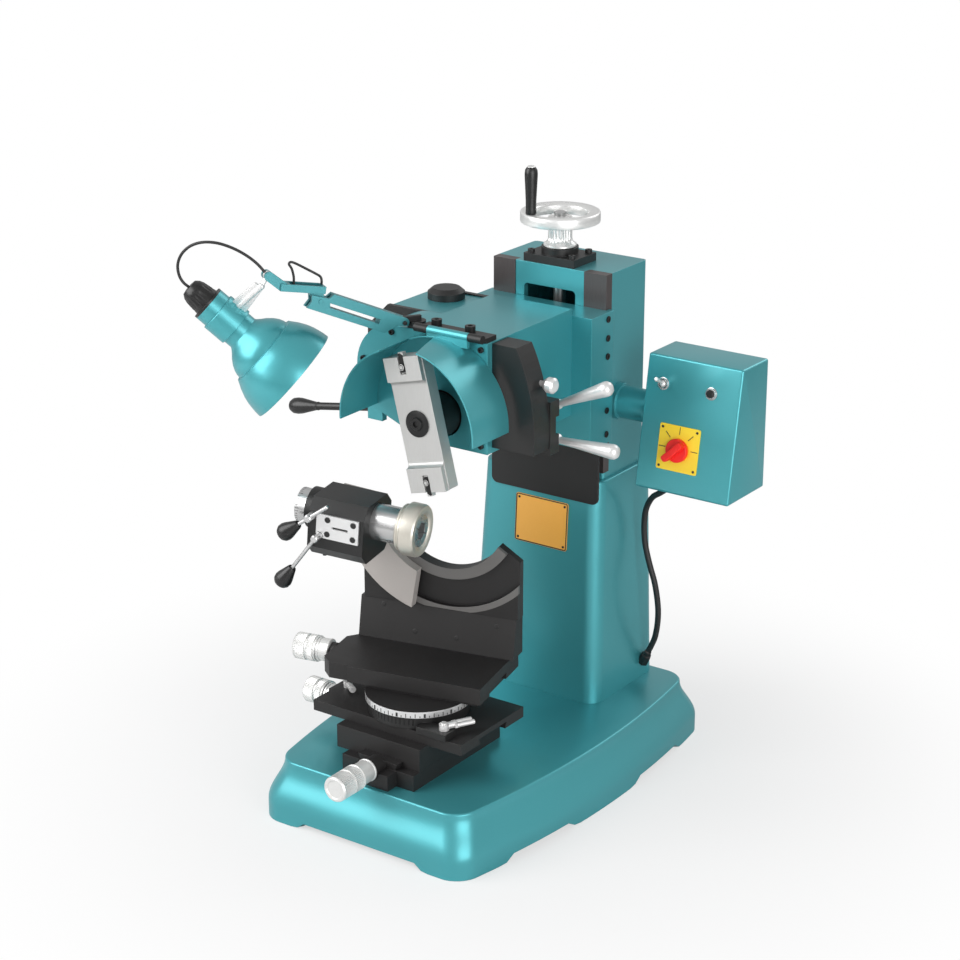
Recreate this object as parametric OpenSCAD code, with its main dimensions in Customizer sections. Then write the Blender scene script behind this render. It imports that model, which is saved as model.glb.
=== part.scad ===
// Bench fly-cutting and sharpening machine: a column machine whose head carries a double-ended
// fly bar, over a compound table with a tilting, indexing work head.
// Millimetres, +Z up, operator on the -Y side. The origin is the centre of the footprint, on the floor.

/* [Base] */
// Front-to-back length of the base casting
base_len = 620; // [560:5:700]
// Width of the base at its middle
base_w = 428; // [400:2:470]
// Width of the base at its front edge
base_front_w = 346; // [320:2:390]
// Width of the base at its rear edge
base_rear_w = 378; // [350:2:410]
// Height of the base casting
base_h = 87.5; // [75:0.5:110]
// How far the top outline lies inside the bottom outline
base_flare = 20.6; // [12:0.2:30]
// Wall of the base casting
base_wall = 9; // [6:0.5:12]
// Height of the gaps between the feet
foot_gap = 10; // [6:0.5:14]
// Radius of the bench bolt holes
bench_hole_r = 5.5; // [4:0.5:7]
// Side-to-side spacing of the bench bolts
bench_dx = 280; // [250:5:290]
// Front-to-back spacing of the bench bolts
bench_dy = 540; // [480:5:545]

/* [Column] */
// Sideways place of the column
column_x = 4; // [0:1:10]
// Width of the pedestal at the base
ped_w = 230; // [215:1:250]
// Width of the pedestal at its top
ped_top_w = 206; // [204:1:212]
// Height of the pedestal
ped_h = 342.5; // [330:0.5:350]
// Front of the pedestal at the base
ped_front = 112.5; // [100:0.5:120]
// Front of the pedestal at its top
ped_top_front = 132.5; // [125:0.5:134]
// Rear of the pedestal
ped_rear = 288; // [275:1:300]
// Wall of the column castings
cast_wall = 10; // [7:0.5:13]
// Width of the column
col_w = 194; // [188:1:200]
// Front face of the column
col_front = 155; // [152:0.5:158]
// Rear face of the column
col_rear = 264; // [256:1:272]
// Height of the column above the pedestal
col_h = 307; // [300:1:330]
// Width of each steel way
way_w = 38; // [32:1:42]
// Thickness of each steel way
way_t = 15; // [12:1:20]
// How far the ways stand in front of the column
way_proud = 1; // [0.5:0.5:3]

/* [Elevating gear] */
// Front-to-back place of the lead screw
screw_y = 187.5; // [184:0.5:192]
// Radius of the lead screw
screw_r = 9; // [7:0.5:11]
// Radius of the handwheel
wheel_r = 58; // [50:1:66]
// Height of the handwheel rim above the column top
wheel_rise = 66; // [60:1:74]
// Radius of the crank grip
grip_r = 9.5; // [8:0.5:10.5]
// Length of the crank grip
grip_len = 68; // [60:1:80]

/* [Head] */
// Height of the cutter spindle
spindle_z = 584; // [580:1:590]
// Radius of the cutter spindle
spindle_r = 12.5; // [10:0.5:15]
// Front face of the fly bar
bar_front = -161; // [-165:0.5:-158]
// Length of the fly bar
bar_len = 190; // [170:1:196]
// Width of the fly bar
bar_w = 62; // [54:1:66]
// Thickness of the fly bar
bar_t = 20; // [16:0.5:22]
// Lean of the fly bar from the vertical at rest
bar_lean = 14; // [0:1:30]
// Height of the head casting
head_h = 158; // [154:1:162]
// Top of the head casting
head_top = 696; // [694:0.5:700]
// Right side of the head casting
head_right = 76; // [70:1:80]
// Radius of the rounded left end of the head casting
head_round = 66; // [60:1:68]
// Front face of the head casting
head_front = -105; // [-108:0.5:-102]
// Outer radius of the guard hood
guard_r = 112; // [109:0.5:114]
// Depth of the guard hood
guard_depth = 84; // [70:1:90]
// Sheet thickness of the guard hood
guard_t = 2; // [1.5:0.25:3]
// Front face of the saddle
saddle_front = 104; // [100:0.5:108]
// Lower edge of the saddle
saddle_bottom = 490; // [484:1:494]
// Thickness of the saddle's side wings
wing_t = 8; // [6:0.5:10]
// Length of the apron
apron_h = 90; // [80:1:96]

/* [Lamp] */
// Length of the lower lamp arm
lower_arm = 128; // [120:1:140]
// Rise of the lower lamp arm, in degrees
lower_rise = 19.8; // [12:0.1:28]
// Length of the upper lamp arm
upper_arm = 82.2; // [76:0.1:90]
// Rise of the upper lamp arm, in degrees
upper_rise = 30.6; // [26:0.1:36]
// Radius of the lamp shade's mouth
shade_r = 71; // [64:1:78]
// Sheet thickness of the lamp shade
shade_t = 1.5; // [1:0.25:2.5]

/* [Table] */
// Front-to-back place of the rotary table's centre
rotary_y = -164; // [-170:1:-158]
// Turn of the rotary table at rest, in degrees
table_turn = 12.4; // [0:0.2:20]
// Width of the bed block
bed_w = 124; // [116:1:130]
// Width of the lower cross slide
plate_w = 258; // [240:2:262]
// Depth of the lower cross slide
plate_d = 152; // [140:2:156]
// Thickness of the lower cross slide
plate_t = 16; // [14:0.5:18]
// Radius of the graduated ring
ring_r = 76; // [70:1:80]
// Radius of the feed knobs
knob_r = 19.5; // [16:0.5:22]
// Length of the feed knobs
knob_len = 56; // [48:1:62]
// Radius of the feed screws
feed_r = 5; // [4:0.5:6.5]
// Width of the upper slide
upper_w = 204; // [190:2:212]
// Thickness of the upper slide
upper_t = 24; // [22:0.5:27]

/* [Work head] */
// Height of the cradle's arc centre
arc_z = 430; // [427:1:432]
// Inner radius of the cradle's arc
arc_in = 90; // [87:1:92]
// Outer radius of the cradle's arc track
arc_out = 157; // [155:1:158]
// Width of the cradle plate
cradle_w = 239; // [232:1:244]
// Thickness of the cradle plate
cradle_t = 20; // [16:0.5:24]
// Nose-down tilt of the work head at rest, in degrees
work_tilt = 4.1; // [0:0.1:6]
// Radius of the work spindle's sleeve
sleeve_r = 26; // [23:0.5:27]
// Radius of the chuck ring
chuck_r = 37.5; // [35:0.5:40]
// Radius of the chuck's bore
chuck_bore_r = 20; // [16:0.5:22]
// Height of the work head's body
work_h = 85; // [80:1:88]
// Depth of the work head's body
work_d = 92; // [84:1:96]

/* [Controls] */
// Width of the control box
box_w = 153; // [140:1:165]
// Height of the control box
box_h = 192; // [180:1:205]
// Lower edge of the control box
box_z = 440; // [432:1:450]
// Radius of the tube that carries the control box
tube_r = 24; // [20:0.5:27]
// Radius of the rotary switch knob
dial_r = 17; // [14:0.5:20]

/* [Clearances] */
// Radial clearance of a turning fit
fit = 0.05; // [0.03:0.01:0.08]
// Gap between sliding faces
slip = 0.1; // [0.05:0.05:0.2]
// Gap between a moving piece and a piece that it only passes
pass = 0.4; // [0.3:0.1:1]

/* [Hidden] */
$fn = 48;

TEAL = [0.10, 0.50, 0.54];
BLACK = [0.08, 0.08, 0.09];
DARK = [0.22, 0.21, 0.21];
STEEL = [0.72, 0.72, 0.72];
GREY = [0.42, 0.40, 0.39];

ped_top = base_h + ped_h;
col_top = ped_top + col_h;
e = 0.01;

// ---------- helpers ----------

// Points of an arc round [cx, cy].
function arc(cx, cy, r, a0, a1, n = 12) =
    [for (i = [0:n]) let (a = a0 + (a1 - a0) * i / n) [cx + r * cos(a), cy + r * sin(a)]];

// Rectangle with round corners, from lowest to highest corner.
module round_rect(lo, hi, r) {
    translate([lo[0] + r, lo[1]]) square([hi[0] - lo[0] - 2 * r, hi[1] - lo[1]]);
    translate([lo[0], lo[1] + r]) square([hi[0] - lo[0], hi[1] - lo[1] - 2 * r]);
    for (x = [lo[0] + r, hi[0] - r], y = [lo[1] + r, hi[1] - r]) translate([x, y]) circle(r);
}

// Box from its lowest to its highest corner.
module block(lo, hi) {
    translate(lo) cube([hi[0] - lo[0], hi[1] - lo[1], hi[2] - lo[2]]);
}

// Extrudes an outline drawn in X and Z along Y, from y0 to y1.
module along_y(y0, y1) {
    translate([0, y1, 0]) rotate([90, 0, 0]) linear_extrude(y1 - y0) children();
}

// Extrudes an outline drawn in Y and Z along X, from x0 to x1.
module along_x(x0, x1) {
    translate([x0, 0, 0]) rotate([90, 0, 90]) linear_extrude(x1 - x0) children();
}

// Cylinder along X or Y, from one place to another.
module rod_x(x0, x1, r, r2 = -1) {
    translate([x0, 0, 0]) rotate([0, 90, 0]) cylinder(h = x1 - x0, r1 = r, r2 = r2 < 0 ? r : r2);
}
module rod_y(y0, y1, r, r2 = -1) {
    translate([0, y0, 0]) rotate([-90, 0, 0]) cylinder(h = y1 - y0, r1 = r, r2 = r2 < 0 ? r : r2);
}

// Solid through a stack of outlines that all have the same number of points.
module loft(rings) {
    n = len(rings[0]);
    m = len(rings);
    polyhedron(
        points = [for (ring = rings) each ring],
        faces = concat(
            [[for (i = [0:n - 1]) i]],
            [for (k = [0:m - 2], i = [0:n - 1])
                [k * n + i, (k + 1) * n + i, (k + 1) * n + (i + 1) % n, k * n + (i + 1) % n]],
            [[for (i = [n - 1:-1:0]) (m - 1) * n + i]]));
}

// Round tube swept along a list of points.
function unit(v) = v / norm(v);
function tangent(p, i) = unit(p[min(i + 1, len(p) - 1)] - p[max(i - 1, 0)]);
function side_of(t) = unit(cross(t, [0, 1, 0]));
module sweep(p, r, sides = 8) {
    loft([for (i = [0:len(p) - 1])
        let (t = tangent(p, i), s = side_of(t), u = cross(t, s))
        [for (k = [0:sides - 1]) p[i] + r * (cos(360 * k / sides) * s + sin(360 * k / sides) * u)]]);
}

// Socket-head screw standing on z = 0, its shank below.
module cap_screw(r, head = 4, shank = 10) {
    difference() {
        cylinder(h = head, r = 1.6 * r);
        translate([0, 0, head - 0.5 * head]) cylinder(h = head, r = 0.8 * r, $fn = 6);
    }
    translate([0, 0, -shank]) cylinder(h = shank + e, r = r);
}

// ---------- base, pedestal and column ----------

base_corner = 30;
skirt_h = 24;

// Half width of the base outline at y, before its round corners.
function base_half(y, inset) =
    let (t = y / (base_len / 2), f = base_front_w / 2, b = base_rear_w / 2, m = base_w / 2)
    m + (b - f) / 2 * t + ((b + f) / 2 - m) * t * t - inset;

// Half width with the corner taken off, at a distance d from the end.
function corner_cut(d, r) = d >= r ? 0 : r - sqrt(r * r - (r - d) * (r - d));

// Places along the side, closer together near the ends.
side_steps = concat([for (a = [0:15:75]) base_corner * (1 - cos(a))], [base_corner]);
function base_side(inset) =
    let (l = base_len / 2 - inset, n = len(side_steps))
    concat([for (d = side_steps) -l + d],
           [for (i = [1:9]) -l + base_corner + (2 * l - 2 * base_corner) * i / 10],
           [for (i = [n - 1:-1:0]) l - side_steps[i]]);
function base_ring(z, inset) =
    let (l = base_len / 2 - inset, ys = base_side(inset),
         right = [for (y = ys) [base_half(y, inset) - corner_cut(l - abs(y), base_corner), y, z]])
    concat(right, [for (i = [len(right) - 1:-1:0]) [-right[i][0], right[i][1], z]]);
function flare_at(z) = z <= skirt_h ? 0 : base_flare * (1 - cos(180 * (z - skirt_h) / (base_h - skirt_h))) / 2;

module base_solid(z0, z1, inset) {
    steps = 9;
    zs = concat([z0], [for (i = [0:steps]) skirt_h + (z1 - skirt_h) * i / steps]);
    loft([for (z = zs) base_ring(z, flare_at(max(z, 0)) + inset)]);
}

boss_r = 15;
module base_casting() {
    color(TEAL) difference() {
        union() {
            difference() {
                base_solid(0, base_h, 0);
                base_solid(-1, base_h - base_wall, base_wall);
            }
            for (x = [-1, 1] * bench_dx / 2, y = [-1, 1] * bench_dy / 2)
                translate([x, y, 0]) cylinder(h = base_h - base_wall + 1, r = boss_r);
        }
        for (x = [-1, 1] * bench_dx / 2, y = [-1, 1] * bench_dy / 2)
            translate([x, y, -1]) cylinder(h = 31, r = bench_hole_r);
        block([-bench_dx / 2 + 28, -base_len, -1], [bench_dx / 2 - 28, base_len, foot_gap]);
        for (y = [-150, 150])
            block([-base_w, y - 75, -1], [base_w, y + 75, foot_gap]);
    }
}

ped_corner = 24;
module ped_shape(inset) {
    hull() {
        for (sx = [-1, 1], y = [ped_front, ped_rear])
            translate([column_x + sx * (ped_w / 2 - ped_corner), y + (y == ped_front ? 1 : -1) * ped_corner, base_h])
                cylinder(h = 1, r = ped_corner - inset, $fn = 32);
        for (sx = [-1, 1], y = [ped_top_front, ped_rear])
            translate([column_x + sx * (ped_top_w / 2 - ped_corner),
                    y + (y == ped_top_front ? 1 : -1) * ped_corner, ped_top - 1])
                cylinder(h = 1, r = ped_corner - inset, $fn = 32);
    }
}
module pedestal() {
    color(TEAL) difference() {
        ped_shape(0);
        difference() {
            ped_shape(cast_wall);
            block([-300, 0, ped_top - cast_wall], [300, 400, ped_top + 1]);
        }
        translate([0, screw_y, ped_top - cast_wall - 2]) cylinder(h = cast_wall + 4, r = screw_r + 8);
    }
    // gland that takes the control lead through the wall
    color(BLACK) translate(cable_in) rotate([0, 27, -6]) difference() {
        translate([0, 0, -16]) cylinder(h = 26, r = gland_r + 1.5, $fn = 6);
        translate([0, 0, 8]) cylinder(h = 3, r = cable_r);
    }
}

slot_w = 88;
module column() {
    x0 = column_x - col_w / 2;
    x1 = column_x + col_w / 2;
    color(TEAL) difference() {
        translate([0, 0, ped_top]) linear_extrude(col_h) difference() {
            round_rect([x0, col_front], [x1, col_rear], 6);
            translate([x0 + cast_wall, col_front + cast_wall])
                square([col_w - 2 * cast_wall, col_rear - col_front - 2 * cast_wall]);
        }
        // seats of the two ways
        for (s = [0, 1])
            translate([s == 0 ? x0 - 1 : x1 - way_w, col_front - 1, ped_top + 10])
                cube([way_w + 1, way_t - way_proud + 1, col_h]);
        // slot for the nut's bracket
        along_y(col_front - 1, col_front + cast_wall + 1)
            translate([column_x - slot_w / 2, 0]) round_rect([0, ped_top + 30], [slot_w, col_top - 32], 6);
    }
    color(TEAL) difference() {
        block([x0 + cast_wall, col_front + cast_wall, col_top - cast_wall],
              [x1 - cast_wall, col_rear - cast_wall, col_top]);
        translate([0, screw_y, col_top - cast_wall - 1]) cylinder(h = cast_wall + 2, r = screw_r + 8);
        for (s = [0, 1])
            translate([s == 0 ? x0 - 1 : x1 - way_w, col_front - 1, ped_top + 10])
                cube([way_w + 1, way_t - way_proud + 1, col_h]);
    }
    // inner faces that carry the ways
    color(TEAL) for (s = [0, 1])
        translate([s == 0 ? x0 + cast_wall - e : x1 - way_w - 6, col_front + way_t - way_proud, ped_top + 10])
            cube([way_w - cast_wall + 6 + e, 8, col_h - 10 - cast_wall + e]);
}

module column_ways() {
    for (s = [0, 1])
        color(GREY) translate([s == 0 ? column_x - col_w / 2 : column_x + col_w / 2 - way_w,
                col_front - way_proud, ped_top + 10])
            cube([way_w, way_t, col_h - 10]);
}

flange_w = 86;
flange_d = 60;
flange_t = 12;
module bearing_flange() {
    color(BLACK) translate([0, screw_y, col_top]) {
        difference() {
            union() {
                translate([-flange_w / 2, -flange_d / 2, 0]) cube([flange_w, flange_d, flange_t]);
                cylinder(h = flange_t + 10, r = 27);
            }
            translate([0, 0, -1]) cylinder(h = flange_t + 12, r = screw_r + fit);
        }
        for (x = [-1, 1] * (flange_w / 2 - 8), y = [-1, 1] * (flange_d / 2 - 8))
            translate([x, y, flange_t]) cap_screw(3.2, 5, 4);
    }
}

plate_px = 92;
plate_pz = 74;
module name_plate() {
    lean = atan2(ped_top_front - ped_front, ped_h);
    color([0.85, 0.62, 0.18]) translate([column_x + 8, ped_front, base_h]) rotate([-lean, 0, 0]) {
        along_y(-1.5, -0.3) round_rect([-plate_px / 2, 230], [plate_px / 2, 230 + plate_pz], 4);
        for (x = [-1, 1] * (plate_px / 2 - 6), z = [236, 224 + plate_pz])
            translate([x, 0, z]) rod_y(-2.4, -1.4, 1.8);
    }
}

// ---------- controls ----------

box_x = column_x + col_w / 2 + 64.5;
box_rear = 240;
box_foot = 135;
box_brow = 167.5;
box_wall = 2.5;
tube_y = 192;
tube_z = box_z + 102;
face_lean = atan2(box_brow - box_foot, box_h);
gland_r = 7;
gland_y = 205;
cable_r = 4.5;
// Route of the lead from the control box to the base.
cable_route = [[182, 205, 434.5], [181, 205, 427], [176, 208, 416], [164, 212, 406], [148, 217, 394],
    [136, 221, 374], [131, 224, 350], [131, 226, 322], [135, 227, 300], [141, 228, 278], [148, 229, 256],
    [152, 231, 232], [153, 234, 208], [150, 238, 184], [144, 242, 160], [137, 244, 144], [132, 245, 134]];
cable_in = [126, 246, 122];

module box_outline(inset) {
    polygon([[box_rear - inset, box_z + inset], [box_rear - inset, box_z + box_h - inset],
        [box_brow + inset, box_z + box_h - inset], [box_foot + inset, box_z + inset]]);
}
// Frame on the sloping front of the box: X across, Z up the slope, -Y outwards.
module on_face(x, up) {
    translate([box_x + x, box_foot, box_z]) rotate([-face_lean, 0, 0]) translate([0, 0, up]) children();
}
dial_at = [65, 65];
toggle_at = [29, 155];
button_at = [107, 154];
module control_box() {
    color(TEAL) difference() {
        along_x(box_x, box_x + box_w) box_outline(0);
        along_x(box_x + box_wall, box_x + box_w - box_wall) box_outline(box_wall);
        translate([0, tube_y, tube_z]) rod_x(box_x - 1, box_x + box_wall + 1, tube_r - 4);
        on_face(dial_at[0], dial_at[1]) rod_y(-8, 8, 4);
        on_face(toggle_at[0], toggle_at[1]) rod_y(-4, 8, 6);
        on_face(button_at[0], button_at[1]) rod_y(-4, 8, 6);
        translate([cable_route[0][0], gland_y, box_z - 1]) cylinder(h = box_wall + 2, r = cable_r + 1);
    }
    // switch plate
    color([0.85, 0.70, 0.10]) on_face(dial_at[0], dial_at[1]) difference() {
        along_y(-1.6, 0) round_rect([-33, -31], [33, 35], 3);
        rod_y(-3, 3, 5);
    }
    // collars of the toggle and the button
    color(STEEL) for (p = [toggle_at, button_at])
        on_face(p[0], p[1]) difference() {
            rod_y(-3.5, 0, 9);
            rod_y(-5, 3, 6);
        }
    // cable gland
    color(BLACK) translate([cable_route[0][0], gland_y, box_z - 6]) difference() {
        cylinder(h = 6, r = gland_r + 2, $fn = 6);
        translate([0, 0, -1]) cylinder(h = 8, r = cable_r);
    }
}
module control_tube() {
    color(TEAL) translate([0, tube_y, tube_z]) difference() {
        union() {
            rod_x(column_x + col_w / 2, box_x, tube_r);
            rod_x(column_x + col_w / 2, column_x + col_w / 2 + 10, tube_r + 3);
            rod_x(box_x - 8, box_x, tube_r + 6);
        }
        rod_x(column_x + col_w / 2 - 1, box_x + 1, tube_r - 4);
    }
}
module control_cable() {
    color(BLACK) sweep(cable_route, cable_r, 10);
}
module selector_knob() {
    color([0.75, 0.12, 0.10]) on_face(dial_at[0], dial_at[1]) {
        rod_y(-9, -1.6 - pass, dial_r);
        rotate([0, 45, 0]) translate([-5, -20, -dial_r - 4]) cube([10, 12, 2 * dial_r + 4]);
    }
    color(STEEL) on_face(dial_at[0], dial_at[1]) rod_y(-2.2, 10, 4 - fit);
}
module toggle_switch() {
    color(STEEL) on_face(toggle_at[0], toggle_at[1]) {
        sphere(6 - pass, $fn = 32);
        // pivot pin
        rod_x(-5.7, 5.7, 1.2);
        rotate([-20, 0, 0]) {
            rod_y(-22, 0, 1.8, 1.4);
            translate([0, -22, 0]) sphere(3.4, $fn = 24);
        }
    }
}
module push_button() {
    color(BLACK) on_face(button_at[0], button_at[1]) {
        rod_y(-7, 4, 6 - 0.35);
        rod_y(4, 6, 4);
    }
}

// ---------- elevating gear ----------

wheel_z = col_top + wheel_rise;
nut_z = 600;
module handwheel() {
    hub_z = col_top + flange_t + 10 + pass;
    color(STEEL) difference() {
        union() {
            translate([0, screw_y, hub_z]) cylinder(h = wheel_z - hub_z + 1, r = 17.5);
            translate([0, screw_y, hub_z]) cylinder(h = 3, r = 24);
            translate([0, screw_y, hub_z + 3 - e]) cylinder(h = 8, r1 = 24, r2 = 17);
            for (a = [0, 120, 240])
                translate([0, screw_y, wheel_z - 9]) rotate(grip_turn + a) block([0, -8, 0], [wheel_r - 8, 8, 9]);
            translate([0, screw_y, wheel_z]) rotate_extrude() rim_section();
            // pin of the crank grip, and the washer that keeps it
            translate([grip_at[0], grip_at[1], wheel_z]) cylinder(h = rim_h / 2 + 2 + grip_len, r = 4);
            translate([grip_at[0], grip_at[1], wheel_z + rim_h / 2 + pass + grip_len]) cylinder(h = 2, r = 6);
        }
        translate([0, screw_y, hub_z - 1]) cylinder(h = wheel_z, r = screw_r);
    }
}
rim_w = 17;
rim_h = 16;
// Half section of the wheel's broad flat rim, with eased edges.
module rim_section() {
    translate([wheel_r - rim_w, 0]) polygon([[2, -rim_h / 2], [rim_w - 2, -rim_h / 2], [rim_w, -rim_h / 2 + 2],
        [rim_w, rim_h / 2 - 2], [rim_w - 2, rim_h / 2], [2, rim_h / 2], [0, rim_h / 2 - 2], [0, -rim_h / 2 + 2]]);
}
// The crank grip stands on the rim, at the front left of the hub.
grip_turn = 245;
grip_at = [(wheel_r - rim_w / 2) * cos(grip_turn), screw_y + (wheel_r - rim_w / 2) * sin(grip_turn)];
module wheel_grip() {
    color(BLACK) translate([grip_at[0], grip_at[1], wheel_z + rim_h / 2 + pass / 2]) difference() {
        rotate_extrude() polygon([[0, 0], [grip_r * 0.82, 0], [grip_r * 0.8, 8], [grip_r, grip_len - 14],
            [grip_r, grip_len - 5], [grip_r * 0.85, grip_len - 1], [grip_r * 0.6, grip_len], [0, grip_len]]);
        translate([0, 0, -1]) cylinder(h = grip_len + 2, r = 4 + fit);
    }
}
module lead_screw() {
    color(STEEL) translate([0, screw_y, ped_top - 30]) cylinder(h = wheel_z + 6 - ped_top + 30, r = screw_r);
}

// ---------- saddle and head ----------

head_bottom = head_top - head_h;
wing_in = col_w / 2 + slip;
wing_grip = 10;
front_left = -146;
arc_c = [front_left + head_round, head_top - head_round];
rear_left = -60;
body_split = -20;
cover_t = 8;
motor_c = [-105, 628];
pulley_r = 32;
rotor_r = 24;
belt_t = 4;
belt_w = 16;
belt_y = -66;
bearing_r = 26;

module saddle() {
    color(TEAL) difference() {
        union() {
            block([column_x - wing_in - wing_t, saddle_front, saddle_bottom],
                  [column_x + wing_in + wing_t, col_front - way_proud - slip, head_top - 10]);
            for (s = [-1, 1])
                translate([column_x + (s > 0 ? wing_in : -wing_in - wing_t), col_front - way_proud - slip - 1, saddle_bottom])
                    cube([wing_t, wing_grip, head_top - 10 - saddle_bottom]);
            // bracket that reaches the lead screw's nut
            block([-16, col_front - way_proud - 2, nut_z - 24], [16, screw_y, nut_z + 24]);
            translate([0, screw_y, nut_z - 24]) cylinder(h = 48, r = 20);
        }
        translate([0, screw_y, nut_z - 30]) cylinder(h = 60, r = screw_r + fit);
        for (s = [-1, 1], z = wing_screws)
            translate([column_x + s * (wing_in + wing_t), col_front - 8, z]) rotate([0, s * 90, 0])
                translate([0, 0, -wing_t - 2]) cylinder(h = wing_t + 4, r = 3);
    }
}
wing_screws = [504, 540, 621, 648, 676];

module front_outline() {
    polygon(concat([[head_right, head_bottom], [head_right, head_top]],
        arc(arc_c[0], arc_c[1], head_round, 90, 180, 14),
        [[front_left, 590], [front_left + 26, 572], [-34, head_bottom]]));
}
belt_run = norm([motor_c[0], motor_c[1] - spindle_z]);
belt_dir = atan2(motor_c[1] - spindle_z, motor_c[0]);
belt_lap = acos((pulley_r - rotor_r) / belt_run);
// Outline of the belt, r outside the two pulleys.
module belt_path(r) {
    polygon(concat(arc(0, spindle_z, pulley_r + r, belt_dir + belt_lap, belt_dir + 360 - belt_lap, 24),
        arc(motor_c[0], motor_c[1], rotor_r + r, belt_dir - belt_lap, belt_dir + belt_lap, 20)));
}
module head_body() {
    color(TEAL) difference() {
        union() {
            along_y(head_front + cover_t, body_split) front_outline();
            block([rear_left, body_split - 1, head_bottom], [head_right, saddle_front, head_top]);
            // lug that carries the feed lever
            block([feed_at[0] - 13, -76, feed_at[1] - 13], [feed_at[0] + 13, -66, 600]);
        }
        // belt chamber behind the front cover
        along_y(head_front, belt_y + belt_w / 2 + 5) belt_path(belt_t + 5);
        // hollow of the rear part, round the spindle's tube
        difference() {
            block([rear_left + cast_wall, body_split + cast_wall, head_bottom + cast_wall],
                  [head_right - cast_wall, saddle_front - cast_wall, head_top - cast_wall]);
            translate([0, 0, spindle_z]) rod_y(body_split, saddle_front, bearing_r + 9);
        }
        // socket of the lamp's swivel
        translate([lamp_at[0], lamp_at[1], head_top - 14]) cylinder(h = 16, r = 4 + fit);
        translate([0, 0, spindle_z]) rod_y(-80, saddle_front - 20, spindle_r + 4);
        translate([0, 0, spindle_z]) rod_y(-53, -35, bearing_r);
        translate([0, 0, spindle_z]) rod_y(30, saddle_front - 10, bearing_r);
        translate([motor_c[0], 0, motor_c[1]]) rod_y(-60, body_split + 1, 12);
        translate([feed_at[0], 0, feed_at[1]]) rod_y(-80, -60, 6);
    }
    color(TEAL) translate([feed_at[0], 0, feed_at[1]]) rod_y(-76, -46, 6);
}
module belt_cover() {
    color(TEAL) difference() {
        along_y(head_front, head_front + cover_t - e) front_outline();
        translate([0, 0, spindle_z]) rod_y(head_front - 1, head_front + cover_t + 1, 33);
    }
}
// Octagonal motor housing at the rear left of the head.
motor_lo = [-190, 566];
motor_hi = [-62, 692];
motor_cut = 36;
module motor_outline(inset) {
    x0 = motor_lo[0] + inset;
    x1 = motor_hi[0] - inset;
    z0 = motor_lo[1] + inset;
    z1 = motor_hi[1] - inset;
    polygon([[x0 + motor_cut, z0], [x1, z0], [x1, z1], [x0 + motor_cut, z1], [x0, z1 - motor_cut], [x0, z0 + motor_cut]]);
}
motor_rear = 92;
module motor_housing() {
    color(TEAL) difference() {
        union() {
            difference() {
                along_y(body_split + 6, motor_rear) motor_outline(0);
                along_y(body_split + 5, motor_rear + 1) motor_outline(5);
            }
            translate([motor_c[0], 0, motor_c[1]]) rod_y(body_split + 12, motor_rear - 8, 41);
        }
        translate([motor_c[0], 0, motor_c[1]]) rod_y(body_split + 5, motor_rear + 1, 34 + pass);
    }
}
module motor_ends() {
    color(BLACK) difference() {
        along_y(body_split, body_split + 6) motor_outline(-2);
        translate([motor_c[0], 0, motor_c[1]]) rod_y(body_split - 1, body_split + 8, 8 + fit);
    }
    color(BLACK) difference() {
        along_y(motor_rear, motor_rear + 8) motor_outline(-2);
        translate([motor_c[0], 0, motor_c[1]]) rod_y(motor_rear - 1, motor_rear + 9, 8 + fit);
    }
    // domed cover of the terminal box on top of the motor
    color(BLACK) translate([-112, 62, motor_hi[1]]) {
        cylinder(h = 10, r = 27);
        translate([0, 0, 10]) cylinder(h = 6, r1 = 27, r2 = 20);
    }
}
module motor_rotor() {
    color(STEEL) translate([motor_c[0], 0, motor_c[1]]) {
        rod_y(belt_y - belt_w / 2 - 3, motor_rear + 6, 8);
        rod_y(body_split + 14, motor_rear - 10, 34);
        rod_y(belt_y - belt_w / 2 - 3, belt_y - belt_w / 2 - pass, rotor_r + 3);
        rod_y(belt_y - belt_w / 2 - pass - e, belt_y + belt_w / 2 + pass + e, rotor_r - pass);
        rod_y(belt_y + belt_w / 2 + pass, belt_y + belt_w / 2 + 3, rotor_r + 3);
    }
}
module drive_belt() {
    color(BLACK) along_y(belt_y - belt_w / 2, belt_y + belt_w / 2) difference() {
        belt_path(belt_t);
        belt_path(0);
    }
}
module spindle() {
    color(STEEL) translate([0, 0, spindle_z]) {
        rod_y(bar_front + bar_t, saddle_front - 22, spindle_r);
        // nose flange behind the fly bar
        rod_y(bar_front + bar_t, head_front - 1, 31);
        // pulley
        rod_y(belt_y - belt_w / 2 - 3, belt_y - belt_w / 2 - pass, pulley_r + 3);
        rod_y(belt_y - belt_w / 2 - pass - e, belt_y + belt_w / 2 + pass + e, pulley_r - pass);
        rod_y(belt_y + belt_w / 2 + pass, belt_y + belt_w / 2 + 3, pulley_r + 3);
        // bearings
        for (y = [[-53, -35], [saddle_front - 26, saddle_front - 10]])
            rod_y(y[0] + pass, y[1] - pass, bearing_r - fit);
    }
}

// ---------- fly bar and guard ----------

end_block = 34;
end_proud = 8;
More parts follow.
